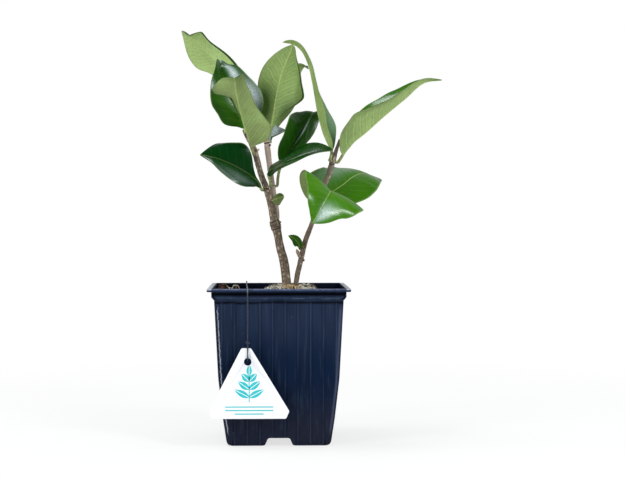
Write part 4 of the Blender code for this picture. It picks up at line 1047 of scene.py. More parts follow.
def add_knob(heap, centre, direction, length, radius, marks):
    """A bud, stub or spur standing out of a stem."""
    direction = unit(np.array(direction, float))
    at = np.linspace(0, 1, 12)
    course = np.array(centre, float) + np.outer(at * length, direction)
    shape = radius * np.sqrt(np.clip(1 - (2 * np.clip(at, 0.25, 1) - 0.75) ** 2 * 0.9, 0.02, 1))
    shape = shape * np.where(at > 0.97, 0.25, 1)
    rings = tube(course, shape[:, None], 12)
    lumps = 0.12 * radius * rough(rings, radius, length).reshape(12, 12)
    rings = rings + lumps[..., None] * unit(rings - course[:, None])
    heap.skin(rings, bark_marks=marks)


# ---------------------------------------------------------------- leaves
def leaf_course(leaf):
    """Rows of midrib point and upper-face direction, starting square to the stem."""
    centre, radius, along = stem_at(leaf["stem"], leaf["height"])
    if leaf["bearing"] is None:
        out = along
        start = centre + out * PETIOLE_GAP
    else:
        angle = math.radians(leaf["bearing"])
        out = np.array((math.cos(angle), math.sin(angle), 0.0))
        out = unit(out - out.dot(along) * along)
        start = centre + out * (radius + PETIOLE_GAP)
    upper = leaf["rib"][0][3:]
    lead = SMALL_LEAD if leaf.get("small") else STALK_LEAD
    return [(*start, *upper), (*(start + out * lead), *upper), *leaf["rib"]]


def leaf_steps(fine):
    """Places across a blade, from margin to margin, close together at the rib and the margins."""
    half = np.linspace(0, 1, fine)
    half = 0.35 * half + 0.65 * (0.5 - 0.5 * np.cos(np.pi * half))
    return np.concatenate([-half[::-1], half[1:]])


def leaf_frame(leaf):
    """Midrib, the ways up and across, the run past the stalk and its share, for each row of a leaf."""
    rows = leaf_course(leaf)
    _, length = smooth_course(rows, (0, 1))
    bare = leaf["stalk"] / length
    blade = np.linspace(0, 1, SMALL_ROWS if leaf.get("small") else BLADE_ROWS)
    blade = 0.35 * (0.5 - 0.5 * np.cos(np.pi * blade)) + 0.65 * blade
    at = np.concatenate([np.linspace(0, bare, STALK_STEPS, endpoint=False), bare + (1 - bare) * blade])
    course, _ = smooth_course(rows, at)
    ahead, _ = smooth_course(rows, np.clip(at + 0.005, 0, 1))
    behind, _ = smooth_course(rows, np.clip(at - 0.005, 0, 1))
    along = unit(ahead[:, :3] - behind[:, :3])
    upper = unit(course[:, 3:] - (course[:, 3:] * along).sum(1, keepdims=True) * along)
    for step in reversed(range(STALK_STEPS)):
        upper[step] = unit(upper[step + 1] - upper[step + 1].dot(along[step]) * along[step])
    grown = np.clip((at - bare) / (1 - bare), 0, 1)
    return course[:, :3], upper, np.cross(along, upper), (at - bare) * length, grown


def leaf_outline(leaf, grown):
    """Width of a blade along it, from 0 to 1."""
    widest = leaf.get("widest", WIDEST)
    safe = np.clip(grown, 1e-6, 1 - 1e-6)
    outline = (safe / widest) ** widest * ((1 - safe) / (1 - widest)) ** (1 - widest)
    return outline ** leaf.get("full", FULL)


def patch_share(turns, grown, patch):
    """How much each place on a blade has of a soft patch."""
    across, along, wide, long, depth = patch
    return depth * np.exp(-((turns - across) / wide) ** 2 - ((grown[:, None] - along) / long) ** 2)


def leaf_marks(leaf, turns, grown):
    """What each point of a blade records: its share across with its painted highlight and rib, and its tones
    with their painted shade.
    """
    painted_highlight = np.zeros((len(grown), len(turns)))
    # Painted highlight and sheen on soft patches
    for patch in leaf.get("painted_highlight", ()):
        painted_highlight = np.maximum(painted_highlight, patch_share(turns, grown, patch))
    pale = np.full(painted_highlight.shape, leaf.get("rib_shade", RIB_SHADE))
    share = np.stack([np.broadcast_to(turns, painted_highlight.shape), painted_highlight, pale], axis=-1)
    tone = np.broadcast_to(leaf["tone"], (*painted_highlight.shape, 3)).copy()
    # Painted shade on soft patches, or painted light where the depth is negative
    for patch in leaf.get("shades", ()):
        tone[..., :2] -= patch_share(turns, grown, patch)[..., None]
    return share, tone


def fan(values, vectors):
    """Each row's vector, times the values across that row."""
    return values[..., None] * vectors[:, None]


def add_leaf(heap, leaf, plant, seed):
    """One leaf: its stalk, rib and blade as one closed skin."""
    small = leaf.get("small", False)
    course, upper, side, run, grown = leaf_frame(leaf)
    half = eased(leaf["half"], grown)
    fold = np.radians(eased(leaf["fold"], grown))

    # Places round each row: over the upper face, then back underneath
    over = leaf_steps(SMALL_HALF_STEPS if small else HALF_STEPS)
    count = len(over)
    turns = np.concatenate([over, over[-2:0:-1]])
    theta = np.concatenate([np.linspace(math.pi, 0, count), -np.linspace(0, math.pi, count)[1:-1]])
    above = np.concatenate([np.ones(count), -np.ones(count - 2)])
    above[[0, count - 1]] = 0
    hand = (turns > 0).astype(int)
    sign = np.where(turns < 0, -1.0, 1.0)
    width = leaf_outline(leaf, grown)[:, None] * half[:, hand]
    reach = width * abs(turns)
    raised = fold[:, hand] * np.clip(abs(turns) / 0.06, 0, 1) * (1 - grown[:, None] ** TIP_LEVEL)
    spread = fan(sign * np.cos(fold[:, hand]), side) + fan(np.sin(fold[:, hand]), upper)
    face = fan(np.cos(raised), upper) - fan(sign * np.sin(raised), side)

    # The stalk, which thins into the rib, and the blade's thickness with its keel and groove
    radius = PETIOLE_RADIUS * (SMALL_STALK if small else 1.0)
    begun = np.clip(grown / BLADE_START, 0, 1)[:, None]
    core = RIB_TIP_RADIUS + (radius - RIB_TIP_RADIUS) * np.clip(1 - grown / STALK_END, 0, 1)[:, None]
    least = RIB_TIP_RADIUS / core
    core = core * np.where(grown[:, None] > 0, least + (1 - least) * np.exp(-(reach / RIB_SPREAD) ** 2), 1)
    ring = fan(core * np.cos(theta), side) + fan(core * np.sin(theta), upper)
    thick = BLADE_THICKNESS / 2 * begun * np.sqrt(np.clip(1 - abs(turns) ** 6, 0, 1))
    keel = KEEL * (SMALL_KEEL if small else 1.0) * (1 - TIP_THINNING * grown[:, None]) * begun
    keel = keel * np.exp(-(reach / KEEL_SPREAD) ** 2)
    groove = RIB_GROOVE * begun * np.exp(-(reach / GROOVE_SPREAD) ** 2)
    lift = np.where(above > 0, thick - groove, -thick - keel) * np.where(above == 0, 0, 1)

    # Waves, ripples and the bulge of each half
    runs = np.broadcast_to(run[:, None], reach.shape)
    place = np.stack([sign * reach, runs, np.zeros(reach.shape)], axis=-1)
    key = place + (0, 0, seed * 40.0)
    size = SMALL_WAVE if small else 1.0
    wander = rough(key, 14.0 * size, seed).reshape(reach.shape) * (reach / np.maximum(width, 0.1)) ** 2
    ripple = rough(key, 6.0, seed + 5).reshape(reach.shape) * 0.25
    puff = plant.bulge * width * np.sin(np.pi * abs(turns)) * begun
    bend = plant.wave / MM * size * begun * (wander * 2.2 + ripple)
    body = course[:, None] + reach[..., None] * spread + ring + (lift + puff + bend)[..., None] * face

    # Finish of each face: 0 the upper face, 1 the under face, 2 the stalk
    kinds = np.zeros((len(grown) - 1, len(turns)), int)
    beneath = np.arange(len(turns)) >= count - 1
    curled = abs(turns) > np.array(leaf.get("rolled", (1.0, 1.0)))[hand]
    kinds[:, beneath & ~curled] = 1
    kinds[grown[1:] <= 0.0] = 2
    share, tone = leaf_marks(leaf, turns, grown)
    heap.skin(body, kinds, blade_place=place / 10, blade_share=share, leaf_tone=tone)


# ---------------------------------------------------------------- pot
def square_ring(half, corner, height, places, flute=None):
    """A rounded square, with grooves in its faces where flute gives their depth and width."""
    inner = half - corner
    points = []
    for quarter in range(4):
        ways = []
        for step in range(CORNER_STEPS + 1):
            angle = math.radians(-45 + 45 * step / CORNER_STEPS)
            ways.append((inner + corner * math.cos(angle), -inner + corner * math.sin(angle)))
        for flat in places:
            depth = 0.0
            if flute:
                nearest = min(abs(abs(flat) - mark) for mark in FLUTES)
                depth = flute[0] * math.exp(-(nearest / (flute[1] / 2)) ** 2)
            ways.append((half - depth, flat))
        for step in range(CORNER_STEPS):
            angle = math.radians(45 * step / CORNER_STEPS)
            ways.append((inner + corner * math.cos(angle), inner + corner * math.sin(angle)))
        turn = math.radians(90 * quarter)
        cos, sin = math.cos(turn), math.sin(turn)
        points += [(x * cos - y * sin, x * sin + y * cos, height) for x, y in ways]
    return points


def wall_half(height):
    """Half width of the pot's outside at a height, from its feet to its neck."""
    heights, halves = zip(*WALL_PROFILE)
    return float(np.interp(height, heights, halves))


def inside_half(height, inset):
    """Half width of the pot's inside at a height, less an inset."""
    neck, neck_half = WALL_PROFILE[-1]
    if height >= COLLAR_FOOT:
        half = COLLAR_HALF
    elif height > neck:
        half = float(np.interp(height, (neck, COLLAR_FOOT), (neck_half, COLLAR_HALF)))
    else:
        half = wall_half(max(height, WALL_PROFILE[0][0]))
    return half - POT_WALL - inset


def flat_places():
    """Places along a pot's face that follow each groove closely."""
    near = (-1.6, -1.0, -0.55, -0.2, 0.2, 0.55, 1.0, 1.6)
    places = [side * mark + step for side in (-1, 1) for mark in FLUTES for step in near]
    return sorted(places + [0.0])


def guide_solid(name, rings):
    """A closed shape, in metres, that only cuts or joins another."""
    heap = Heap()
    heap.skin(rings)
    return heap.build(name, [], 40)


def channel_ends(along_x):
    """Section of the see-through channel under the floor, with rounded shoulders and flared feet."""
    below = 1.0
    foot = CHANNEL_FOOT / 2
    top = CHANNEL_TOP / 2
    right = [(foot + 2.4, -below), (foot + 1.9, 0.0)]
    right += [(foot + 1.9 - 2.2 * math.sin(a), 1.6 - 1.6 * math.cos(a)) for a in np.linspace(0.35, 1.35, 5)]
    right += [(top - 1.8 + 1.8 * math.cos(a), CHANNEL_HEIGHT - 1.8 + 1.8 * math.sin(a))
              for a in np.linspace(0.15, math.pi / 2, 6)]
    section = right + [(-x, z) for x, z in reversed(right)]
    ends = (-CHANNEL_REACH, CHANNEL_REACH)
    return [[(end, a, z) if along_x else (a, end, z) for a, z in section] for end in ends]


def apply_boolean(obj, other, operation):
    """Cuts a shape with another, or joins them, and does away with the other."""
    cut = obj.modifiers.new(operation.lower(), "BOOLEAN")
    cut.operation = operation
    cut.solver = "EXACT"
    cut.object = other
    bpy.context.view_layer.objects.active = obj
    bpy.ops.object.modifier_apply(modifier=cut.name)
    bpy.data.objects.remove(other)


def box_rings(low, high):
    """The foot and the top of a box."""
    corners = [(low[0], low[1]), (high[0], low[1]), (high[0], high[1]), (low[0], high[1])]
    return [[(x, y, z) for x, y in corners] for z in (low[2], high[2])]


def pot_rings(pot):
    """Rings from the pot's feet up its outside, over the flange and down its inside."""
    places = flat_places()
    depth, width = pot.flute_depth / MM, pot.flute_width / MM
    neck = WALL_PROFILE[-1][0]
    rings = [square_ring(half, corner, height, places) for height, half, corner in FOOT_PROFILE]
    for height in (WALL_PROFILE[0][0], 6.5, *np.linspace(FLUTE_FOOT, FLUTE_TOP, 34), neck):
        fade = min(1.0, max(0.0, (height - 5.0) / 6.0), max(0.0, (neck - height) / 2.0))
        rings.append(square_ring(wall_half(height), CORNER_RADIUS, height, places, (depth * fade, width)))
    flange_foot = POT_HEIGHT - FLANGE_DEPTH
    outer = ((COLLAR_HALF - 0.5, COLLAR_FOOT - 0.45), (COLLAR_HALF - 0.1, COLLAR_FOOT),
             (COLLAR_HALF, COLLAR_FOOT + 0.5), (COLLAR_HALF, flange_foot - 0.3),
             (COLLAR_HALF + 0.25, flange_foot), (FLANGE_HALF - 0.3, flange_foot),
             (FLANGE_HALF, flange_foot + 0.25), (FLANGE_HALF - 0.1, POT_HEIGHT - 0.4),
             (FLANGE_HALF - FLANGE_DRAFT - 0.25, POT_HEIGHT))
    rings += [square_ring(half, CORNER_RADIUS, height, places) for half, height in outer]
    inner_heights = (POT_HEIGHT, POT_HEIGHT - 0.5, COLLAR_FOOT + 0.4, COLLAR_FOOT, neck,
                     WALL_PROFILE[2][0], WALL_PROFILE[1][0], 3.0, FLOOR)
    for height in inner_heights:
        half = inside_half(height, 0.0) + (0.35 if height == POT_HEIGHT else 0.0)
        rings.append(square_ring(half, CORNER_RADIUS - 1, height, places))
    return rings


# ---------------------------------------------------------------- operators
class PRIVET_OT_stage(bpy.types.Operator):
    """Sets up the camera, the lamps, the pale floor and the surroundings"""
    bl_idname = "privet.stage"
    bl_label = "Stage"

    def execute(self, context):
        stage = context.scene.privet_stage
        context.scene.view_settings.view_transform = "Standard"
        self.camera(context, stage)
        for name, row in LAMPS.items():
            lamp = self.lamp(context, f"{name}_lamp", getattr(stage, name), *row)
            lamp.visible_glossy = name != "key"
        self.floor(context)
        self.surroundings(context, stage)
        return {"FINISHED"}

    @staticmethod
    def camera(context, stage):
        """A long view from the front."""
        data = bpy.data.cameras.new("view")
        data.lens = stage.lens
        data.sensor_width = 36.0
        data.sensor_fit = "HORIZONTAL"
        data.clip_start = 0.01
        camera = bpy.data.objects.new("view", data)
        camera.location = metres(CAMERA_PLACE)
        camera.rotation_euler = (math.radians(90 - CAMERA_DIP), 0.0, math.radians(CAMERA_TURN))
        context.scene.collection.objects.link(camera)
        context.scene.camera = camera

    @staticmethod
    def lamp(context, name, power, where, size, colour):
        """A square or oblong lamp that faces the plant."""
        data = bpy.data.lights.new(name, "AREA")
        data.shape = "RECTANGLE"
        data.size, data.size_y = size
        data.energy = power
        data.color = colour
        lamp = bpy.data.objects.new(name, data)
        lamp.location = where
        aim = Vector(LAMP_AIM) - lamp.location
        lamp.rotation_euler = aim.to_track_quat("-Z", "Y").to_euler()
        context.scene.collection.objects.link(lamp)
        return lamp

    @staticmethod
    def floor(context):
        """Paper that takes shadows near the plant and is white further out."""
        corners = [(x * FLOOR_REACH, y * FLOOR_REACH, 0) for x, y in ((-1, -1), (1, -1), (1, 1), (-1, 1))]
        mesh = bpy.data.meshes.new("floor")
        mesh.from_pydata(corners, [], [(0, 1, 2, 3)])
        finish = Finish(bpy.data.materials.new("floor_white"))
        finish.holder.cycles.emission_sampling = "NONE"
        finish.tree.nodes.remove(finish.tree.nodes["Principled BSDF"])
        shine = finish.rays("Glossy")
        seen = finish.rays("Camera") + finish.rays("Transmission")
        spot = finish.node("ShaderNodeNewGeometry", out=0)
        far = finish.node("ShaderNodeVectorMath", {"operation": "LENGTH"}, {0: spot}, 1)
        cloud = finish.cloud(spot, 30.0, 3.0)
        shade = finish.mix(cloud * 0.04, FLOOR_PALE, FLOOR_GREY)
        lit = finish.node("ShaderNodeBsdfDiffuse", None, {"Color": shade})
        glow = finish.mix(shine, FLOOR_GLOW, FLOOR_SHEEN)
        white = finish.node("ShaderNodeEmission", None, {"Color": glow, "Strength": 1.0})
        share = seen * finish.ease(far, 0.12, 0.6, 0.72, 1.0) + shine
        both = finish.node("ShaderNodeMixShader", None, {0: share, 1: lit, 2: white})
        finish.tree.links.new(both.socket, finish.tree.nodes["Material Output"].inputs["Surface"])
        mesh.materials.append(finish.holder)
        floor = bpy.data.objects.new("floor", mesh)
        context.scene.collection.objects.link(floor)

    @staticmethod
    def surroundings(context, stage):
        """White where it is seen; for shine, bright behind and above and dim towards the viewer's room."""
        world = bpy.data.worlds.new("surroundings")
        world.cycles.sampling_method = "NONE"
        context.scene.world = world
        finish = Finish(world)
        shine = finish.rays("Glossy")
        seen = finish.rays("Camera") + finish.rays("Transmission")
        direction = finish.node("ShaderNodeTexCoord", out=0)
        aside, deep, _ = finish.parts(direction)
        studio = finish.ease(deep + aside * 0.5, 0.45, 1.0, 0.02, 0.38)
        strength = seen + shine * studio + (1.0 - seen - shine) * stage.ambient
        background = finish.tree.nodes["Background"]
        background.inputs["Color"].default_value = (1.0, 1.0, 1.0, 1.0)
        finish.tree.links.new(strength.socket, background.inputs["Strength"])


class PRIVET_OT_tag(bpy.types.Operator):
    """Makes the twisted cord, its two knots, the tag and the print on it"""
    bl_idname = "privet.tag"
    bl_label = "Tag and cord"

    def execute(self, context):
        pot = context.scene.privet_pot
        string = thread(pot)
        tag = self.tag(pot)
        sprig = self.print_on(pot)
        loop = self.knot("loop_knot_thread", LOOP_KNOT, 1.15, string, "loop_knot")
        end = self.knot("end_knot_thread", END_KNOT, 1.3, string, "end_knot")
        self.cord(string, [tag, sprig, loop, end])
        return {"FINISHED"}

    @staticmethod
    def cord(string, pieces):
        """The cord, twisted of two strands, from its end knot over both rims to the tag."""
        course, length = smooth_course(CORD_ROUTE, np.linspace(0, 1, 560))
        around = 10
        turns = length / CORD_LAY
        angle = angles_round(around)
        wind = 2 * np.pi * turns * np.linspace(0, 1, len(course))[:, None]
        ply = abs(np.cos(angle[None] - wind))
        radius = CORD_DIAMETER / 2 * (0.8 + 0.22 * ply)
        heap = Heap()
        heap.skin(tube(course, radius, around), twist=np.stack([ply] * 3, axis=-1))
        cord = settle(heap.build("tag_cord_thread", [string], 60), "cord_thread", "tag_cord")

    @staticmethod
    def knot(name, centre, size, string, node):
        """A thread wound over and through itself."""
        t = np.linspace(0, 2 * np.pi, 120, endpoint=False)
        scale = size / 3.2
        loop = np.column_stack([(np.sin(t) + 2 * np.sin(2 * t)) * scale,
                                (np.cos(t) - 2 * np.cos(2 * t)) * scale * 0.8,
                                -np.sin(3 * t) * scale * 1.5])
        course = np.array(centre) + np.vstack([loop, loop[:1]])
        around = 10
        ply = abs(np.cos(angles_round(around)[None] - 6 * np.append(t, 0.0)[:, None]))
        radius = CORD_DIAMETER / 2 * (0.85 + 0.15 * ply)
        heap = Heap()
        heap.skin(tube(course, radius, around), twist=np.stack([ply] * 3, axis=-1))
        return settle(heap.build(name, [string], 60), "cord_thread", node)

    @staticmethod
    def tag(pot):
        """A stiff plastic card with softened corners and a punched hole."""
        corners = [np.array(point) for point in TAG_OUTLINE]
        outline = []
        for before, corner, after in zip(corners[-1:] + corners[:-1], corners, corners[1:] + corners[:1]):
            start = corner + unit(before - corner) * TAG_CORNER
            end = corner + unit(after - corner) * TAG_CORNER
            for s in np.linspace(0, 1, 5):
                outline.append((1 - s) ** 2 * start + 2 * s * (1 - s) * corner + s ** 2 * end)
        outline = np.array(outline)
        middle = outline.mean(0)
        edge = 0.06
        rings = []
        for depth, draw in ((0.0, TAG_BEVEL), (edge, 0.0), (TAG_THICKNESS - edge, 0.0),
                            (TAG_THICKNESS, TAG_BEVEL)):
            ring = outline + unit(middle - outline) * draw
            rings.append([(x, TAG_FACE + depth, z) for x, z in ring])
        heap = Heap()
        heap.skin(rings)
        card = heap.build("tag_card", [tag_plastic(pot)], 30)
        ends = [[(x, y, z) for x, z in circle(*TAG_HOLE, 40)]
                for y in (TAG_FACE - 1, TAG_FACE + TAG_THICKNESS + 1)]
        apply_boolean(card, guide_solid("tag_punch", ends), "DIFFERENCE")
        return settle(card, "tag_plastic", "hang_tag")

    @staticmethod
    def print_on(pot):
        """A plain leaf sprig with ruled lines under it, raised by the thickness of the ink."""
        heap = Heap()
        front = TAG_FACE - 0.05

        def patch(outline):
            heap.skin([[(x, y, z) for x, z in outline] for y in (front, front + 0.12)])

        def bar(start, end, width):
            start, end = np.array(start, float), np.array(end, float)
            aside = unit(np.array((-(end - start)[1], (end - start)[0]))) * width / 2
            patch([start + aside, end + aside, end - aside, start - aside])

        def blade(foot, bearing, length, width):
            way = np.array((math.cos(math.radians(bearing)), math.sin(math.radians(bearing))))
            square = np.array((-way[1], way[0]))
            s = np.linspace(0, 1, 15)
            swell = width / 2 * np.sin(np.pi * s ** 0.85) + 0.04
            near = 0.22
            for hand in (1, -1):
                outline = [foot + way * length * a + square * hand * (near + w) for a, w in zip(s, swell)]
                back = [foot + way * length * a + square * hand * near for a in s[::-1]]
                patch(outline + back)

        foot = np.array(SPRIG_FOOT)
        bar(foot, foot + (0.0, SPRIG_STEM), 0.6)
        for rise, bearing in SPRIG_LEAVES:
            blade(foot + (0.0, rise), bearing, 11.4 - rise * 0.36, 3.6)
        blade(foot + (0.0, SPRIG_STEM - 0.4), 90, 6.6, 2.8)
        for height, half in RULED_LINES:
            bar((foot[0] - half, height), (foot[0] + half, height), 0.7)
        return settle(heap.build("tag_print", [tag_ink(pot)], 30), "tag_plastic")


class PRIVET_OT_pot(bpy.types.Operator):
    """Makes the fluted square pot with its collar, channels and drain holes"""
    bl_idname = "privet.pot"
    bl_label = "Pot"

    def execute(self, context):
        heap = Heap()
        heap.skin(pot_rings(context.scene.privet_pot))
        pot = heap.build("nursery_pot", [pot_plastic(context.scene.privet_pot)], 35)
        width = CHANNEL_FOOT / 2 + RIDGE_WALL
        foot, top = FOOT_PROFILE[1][0], CHANNEL_HEIGHT + POT_WALL
        for reach in ((RIDGE_REACH, width), (width, RIDGE_REACH)):
            low = (-reach[0], -reach[1], foot)
            high = (reach[0], reach[1], top)
            apply_boolean(pot, guide_solid("ridge", box_rings(low, high)), "UNION")
        for along_x in (True, False):
            apply_boolean(pot, guide_solid("channel", channel_ends(along_x)), "DIFFERENCE")
        for x, y in DRAIN_PLACES:
            hole = circle(x * DRAIN_OFFSET, y * DRAIN_OFFSET, DRAIN_HOLE, 32)
            ends = [[(a, b, z) for a, b in hole] for z in (CHANNEL_HEIGHT - 2, CHANNEL_HEIGHT + 3)]
            apply_boolean(pot, guide_solid("drain", ends), "DIFFERENCE")
        pot.data.shade_smooth()
        pot.data.set_sharp_from_angle(angle=math.radians(32))
        settle(pot, "pot_plastic", "pot")
        return {"FINISHED"}


class PRIVET_OT_filling(bpy.types.Operator):
    """Makes the crust of potting mix with its crumbs, the straw round the stems and the bark chips"""
    bl_idname = "privet.filling"
    bl_label = "Potting mix, straw and bark"

    def execute(self, context):
        filling = context.scene.privet_filling
        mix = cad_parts["potting_mix"]
        mix.data.materials.clear()
        mix.data.materials.append(peat(filling))
        self.crust(filling)
        self.crumbs(filling)
        self.straw(filling)
        self.chips(filling)
        self.fibres(filling)
        return {"FINISHED"}

    @staticmethod
    def crust(filling):
        """The uneven surface of the mix."""
        steps = 110
        half = inside_half(MIX_TOP, 0.35)
        x, y = np.meshgrid(np.linspace(-half, half, steps), np.linspace(-half, half, steps), indexing="ij")
        flat = np.stack([x, y, np.zeros_like(x)], axis=-1)
        lumps = rough(flat, 5.0, 2).reshape(x.shape) * 0.7 + rough(flat, 1.7, 5).reshape(x.shape) * 0.45
        edge = np.clip((half - np.maximum(abs(x), abs(y))) / 1.5, 0, 1)
        top = MIX_TOP + 0.25 + np.clip(lumps + 0.35, 0, 2.0) * edge
        index = np.arange(steps * steps).reshape(steps, steps)
        points = np.stack([x, y, top], axis=-1).reshape(-1, 3)
        under = np.stack([x, y, np.full_like(x, MIX_TOP - 0.6)], axis=-1).reshape(-1, 3)
        corners = [index[:-1, :-1], index[1:, :-1], index[1:, 1:], index[:-1, 1:]]
        quads = np.stack(corners, axis=-1).reshape(-1, 4)
        faces = quads.tolist() + (quads[:, ::-1] + steps * steps).tolist()
        rim = list(index[:-1, 0]) + list(index[-1, :-1]) + list(index[:0:-1, -1]) + list(index[0, :0:-1])
        for a, b in zip(rim, rim[1:] + rim[:1]):
            faces.append([int(b), int(a), int(a) + steps * steps, int(b) + steps * steps])
        mesh = bpy.data.meshes.new("mix_crust")
        mesh.from_pydata((np.vstack([points, under]) * MM).tolist(), [], faces)
        settle(finished("mix_crust", mesh, [peat(filling)], 60), "potting_mix")

    @staticmethod
    def crumbs(filling):
        """Crumbs strewn over the mix, a few of them large."""
        draw = np.random.default_rng(11)
        half = inside_half(MIX_TOP, 2.2)
        heap = Heap()
        for _ in range(filling.crumbs):
            x, y = draw.uniform(-half, half, 2)
            size = draw.uniform(0.5, 1.5) * (1.6 if draw.random() < 0.08 else 1.0)
            centre = (x, y, MIX_TOP + 0.4 + size * 0.25)
            add_bit(heap, draw, centre, size, (draw.random(), draw.random() < 0.2, 0))
        settle(heap.build("mix_crumbs", [crumbs_finish(filling)], 50), "potting_mix")

    @staticmethod
    def straw(filling):
        """A mound, dark with painted shade, with curved strands laid over it."""
        draw = np.random.default_rng(5)
        heap = Heap()
        angles = angles_round(40)
        core = []
        for rise, spread in MOUND_LEVELS:
            ring = np.column_stack([LITTER_CENTRE[0] + LITTER_HALF[0] * spread * np.cos(angles),
                                    LITTER_CENTRE[1] + LITTER_HALF[1] * spread * np.sin(angles),
                                    np.full(len(angles), MIX_TOP + 0.2 + LITTER_HEIGHT * rise * 0.86)])
            core.append(ring + unit(ring - (*LITTER_CENTRE, MIX_TOP)) * 0.4 * rough(ring, 2.0, 9)[:, None])
        # The mound is dark with painted shade between the strands
        heap.skin(core, bit_tone=(0.0, 1.0, 0.0))
        for _ in range(filling.strands):
            add_strand(heap, draw)
        settle(heap.build("straw_strands", [straw_finish(filling)], 60), "straw", "straw_litter")

    @staticmethod
    def chips(filling):
        """The bark chips, each laid over its own solid."""
        finish = chip_finish(filling)
        for index, row in enumerate(CHIPS):
            heap = Heap()
            add_chip(heap, row, index)
            name = f"bark_chip_{index + 1}"
            settle(heap.build(f"torn_{name}", [finish], 35), "bark_chip", name)

    @staticmethod
    def fibres(filling):
        """Curled fibres that arch up by the bark chips."""
        draw = np.random.default_rng(23)
        heap = Heap()
        steps = 24
        s = np.linspace(-1, 1, steps)
        for _ in range(9):
            centre = np.array((draw.uniform(-36, -30), draw.uniform(6, 26), MIX_TOP + 1.0))
            bearing, reach = draw.uniform(0, np.pi), draw.uniform(2.2, 4.4)
            heading = bearing + draw.uniform(-0.9, 0.9) * s
            way = np.column_stack([np.cos(heading), np.sin(heading), np.zeros(steps)])
            course = centre + np.cumsum(way, axis=0) * reach / 12
            course[:, 2] += draw.uniform(3.2, 5.8) * (1 - abs(s) ** 2.5) + 0.4 * rough(course, 2.0, reach)
            heap.skin(tube(course, draw.uniform(0.16, 0.34) * (1 - 0.4 * abs(s[:, None]) ** 3), 7),
                      bit_tone=(draw.uniform(0.5, 1.0), draw.random() < 0.3, 0))
        settle(heap.build("curled_fibres", [straw_finish(filling)], 60), "straw")


def add_bit(heap, draw, centre, size, tone):
    """A small irregular lump."""
    around, rows = 7, 5
    lift = np.linspace(-0.92, 0.92, rows)
    angles = angles_round(around)
    ring = np.sqrt(1 - lift ** 2)
    ball = np.stack([ring[:, None] * np.cos(angles), ring[:, None] * np.sin(angles),
                     np.broadcast_to(lift[:, None], (rows, around))], axis=-1)
    ball = ball * draw.uniform(0.55, 1.0, 3) * (1 + draw.uniform(-0.25, 0.25, (rows, around, 1)))
    turn = np.array(Euler(draw.uniform(0, 6.28, 3)).to_matrix())
    heap.skin(ball @ turn.T * size / 2 + np.array(centre), bit_tone=tone)


def mound_height(x, y):
    """Height of the straw mound over the mix."""
    far = math.hypot((x - LITTER_CENTRE[0]) / LITTER_HALF[0], (y - LITTER_CENTRE[1]) / LITTER_HALF[1])
    return LITTER_HEIGHT * 0.84 * max(0.0, 1 - min(far / 1.08, 1.0) ** 4) ** 0.5


def add_strand(heap, draw):
    """One curved strand lying over the mound."""
    turn = draw.uniform(0, 2 * np.pi)
    far = draw.uniform(0.05, 0.92) ** 0.6
    centre = np.array((LITTER_CENTRE[0] + LITTER_HALF[0] * far * math.cos(turn) * 1.04,
                       LITTER_CENTRE[1] + LITTER_HALF[1] * far * math.sin(turn) * 0.95))
    bearing = draw.uniform(0, 2 * np.pi)
    length = draw.uniform(3.5, 11.0)
    curl = draw.normal(0, 0.17)
    steps = 14
    s = np.linspace(-0.5, 0.5, steps) * length
    heading = bearing + curl * s
    flat = centre + np.cumsum(np.column_stack([np.cos(heading), np.sin(heading)]) * (length / steps), axis=0)
    flat -= flat.mean(0) - centre
    arch = draw.uniform(0.0, 2.2) ** 1.5 * 0.7
    share = draw.uniform(0.66, 1.0)
    course = np.array([(x, y, MIX_TOP + 0.45 + share * mound_height(x, y)) for x, y in flat])
    course[:, 2] += arch * (1 - (2 * s / length) ** 2) + 0.15
    course[:, 2] = np.minimum(course[:, 2], MIX_TOP + LITTER_HEIGHT + 0.1)
    thick = draw.uniform(0.18, 0.48)
    aside = abs(centre[0] - LITTER_CENTRE[0])
    pale = np.clip((aside - 3) / 6, 0, 1)
    # Some strands are darkened with painted shade, more often away from the middle of the mound
    shaded = 0.4 if aside > 7 else 0.18
    light = np.clip(pale + draw.normal(0, 0.25), 0, 1)
    painted_shade = 0.85 if draw.random() < shaded else draw.uniform(0, 0.15)
    shape = thick * (1 - 0.5 * abs(2 * s / length) ** 3)
    heap.skin(tube(course, shape[:, None], 6), bit_tone=(light, painted_shade, 0))


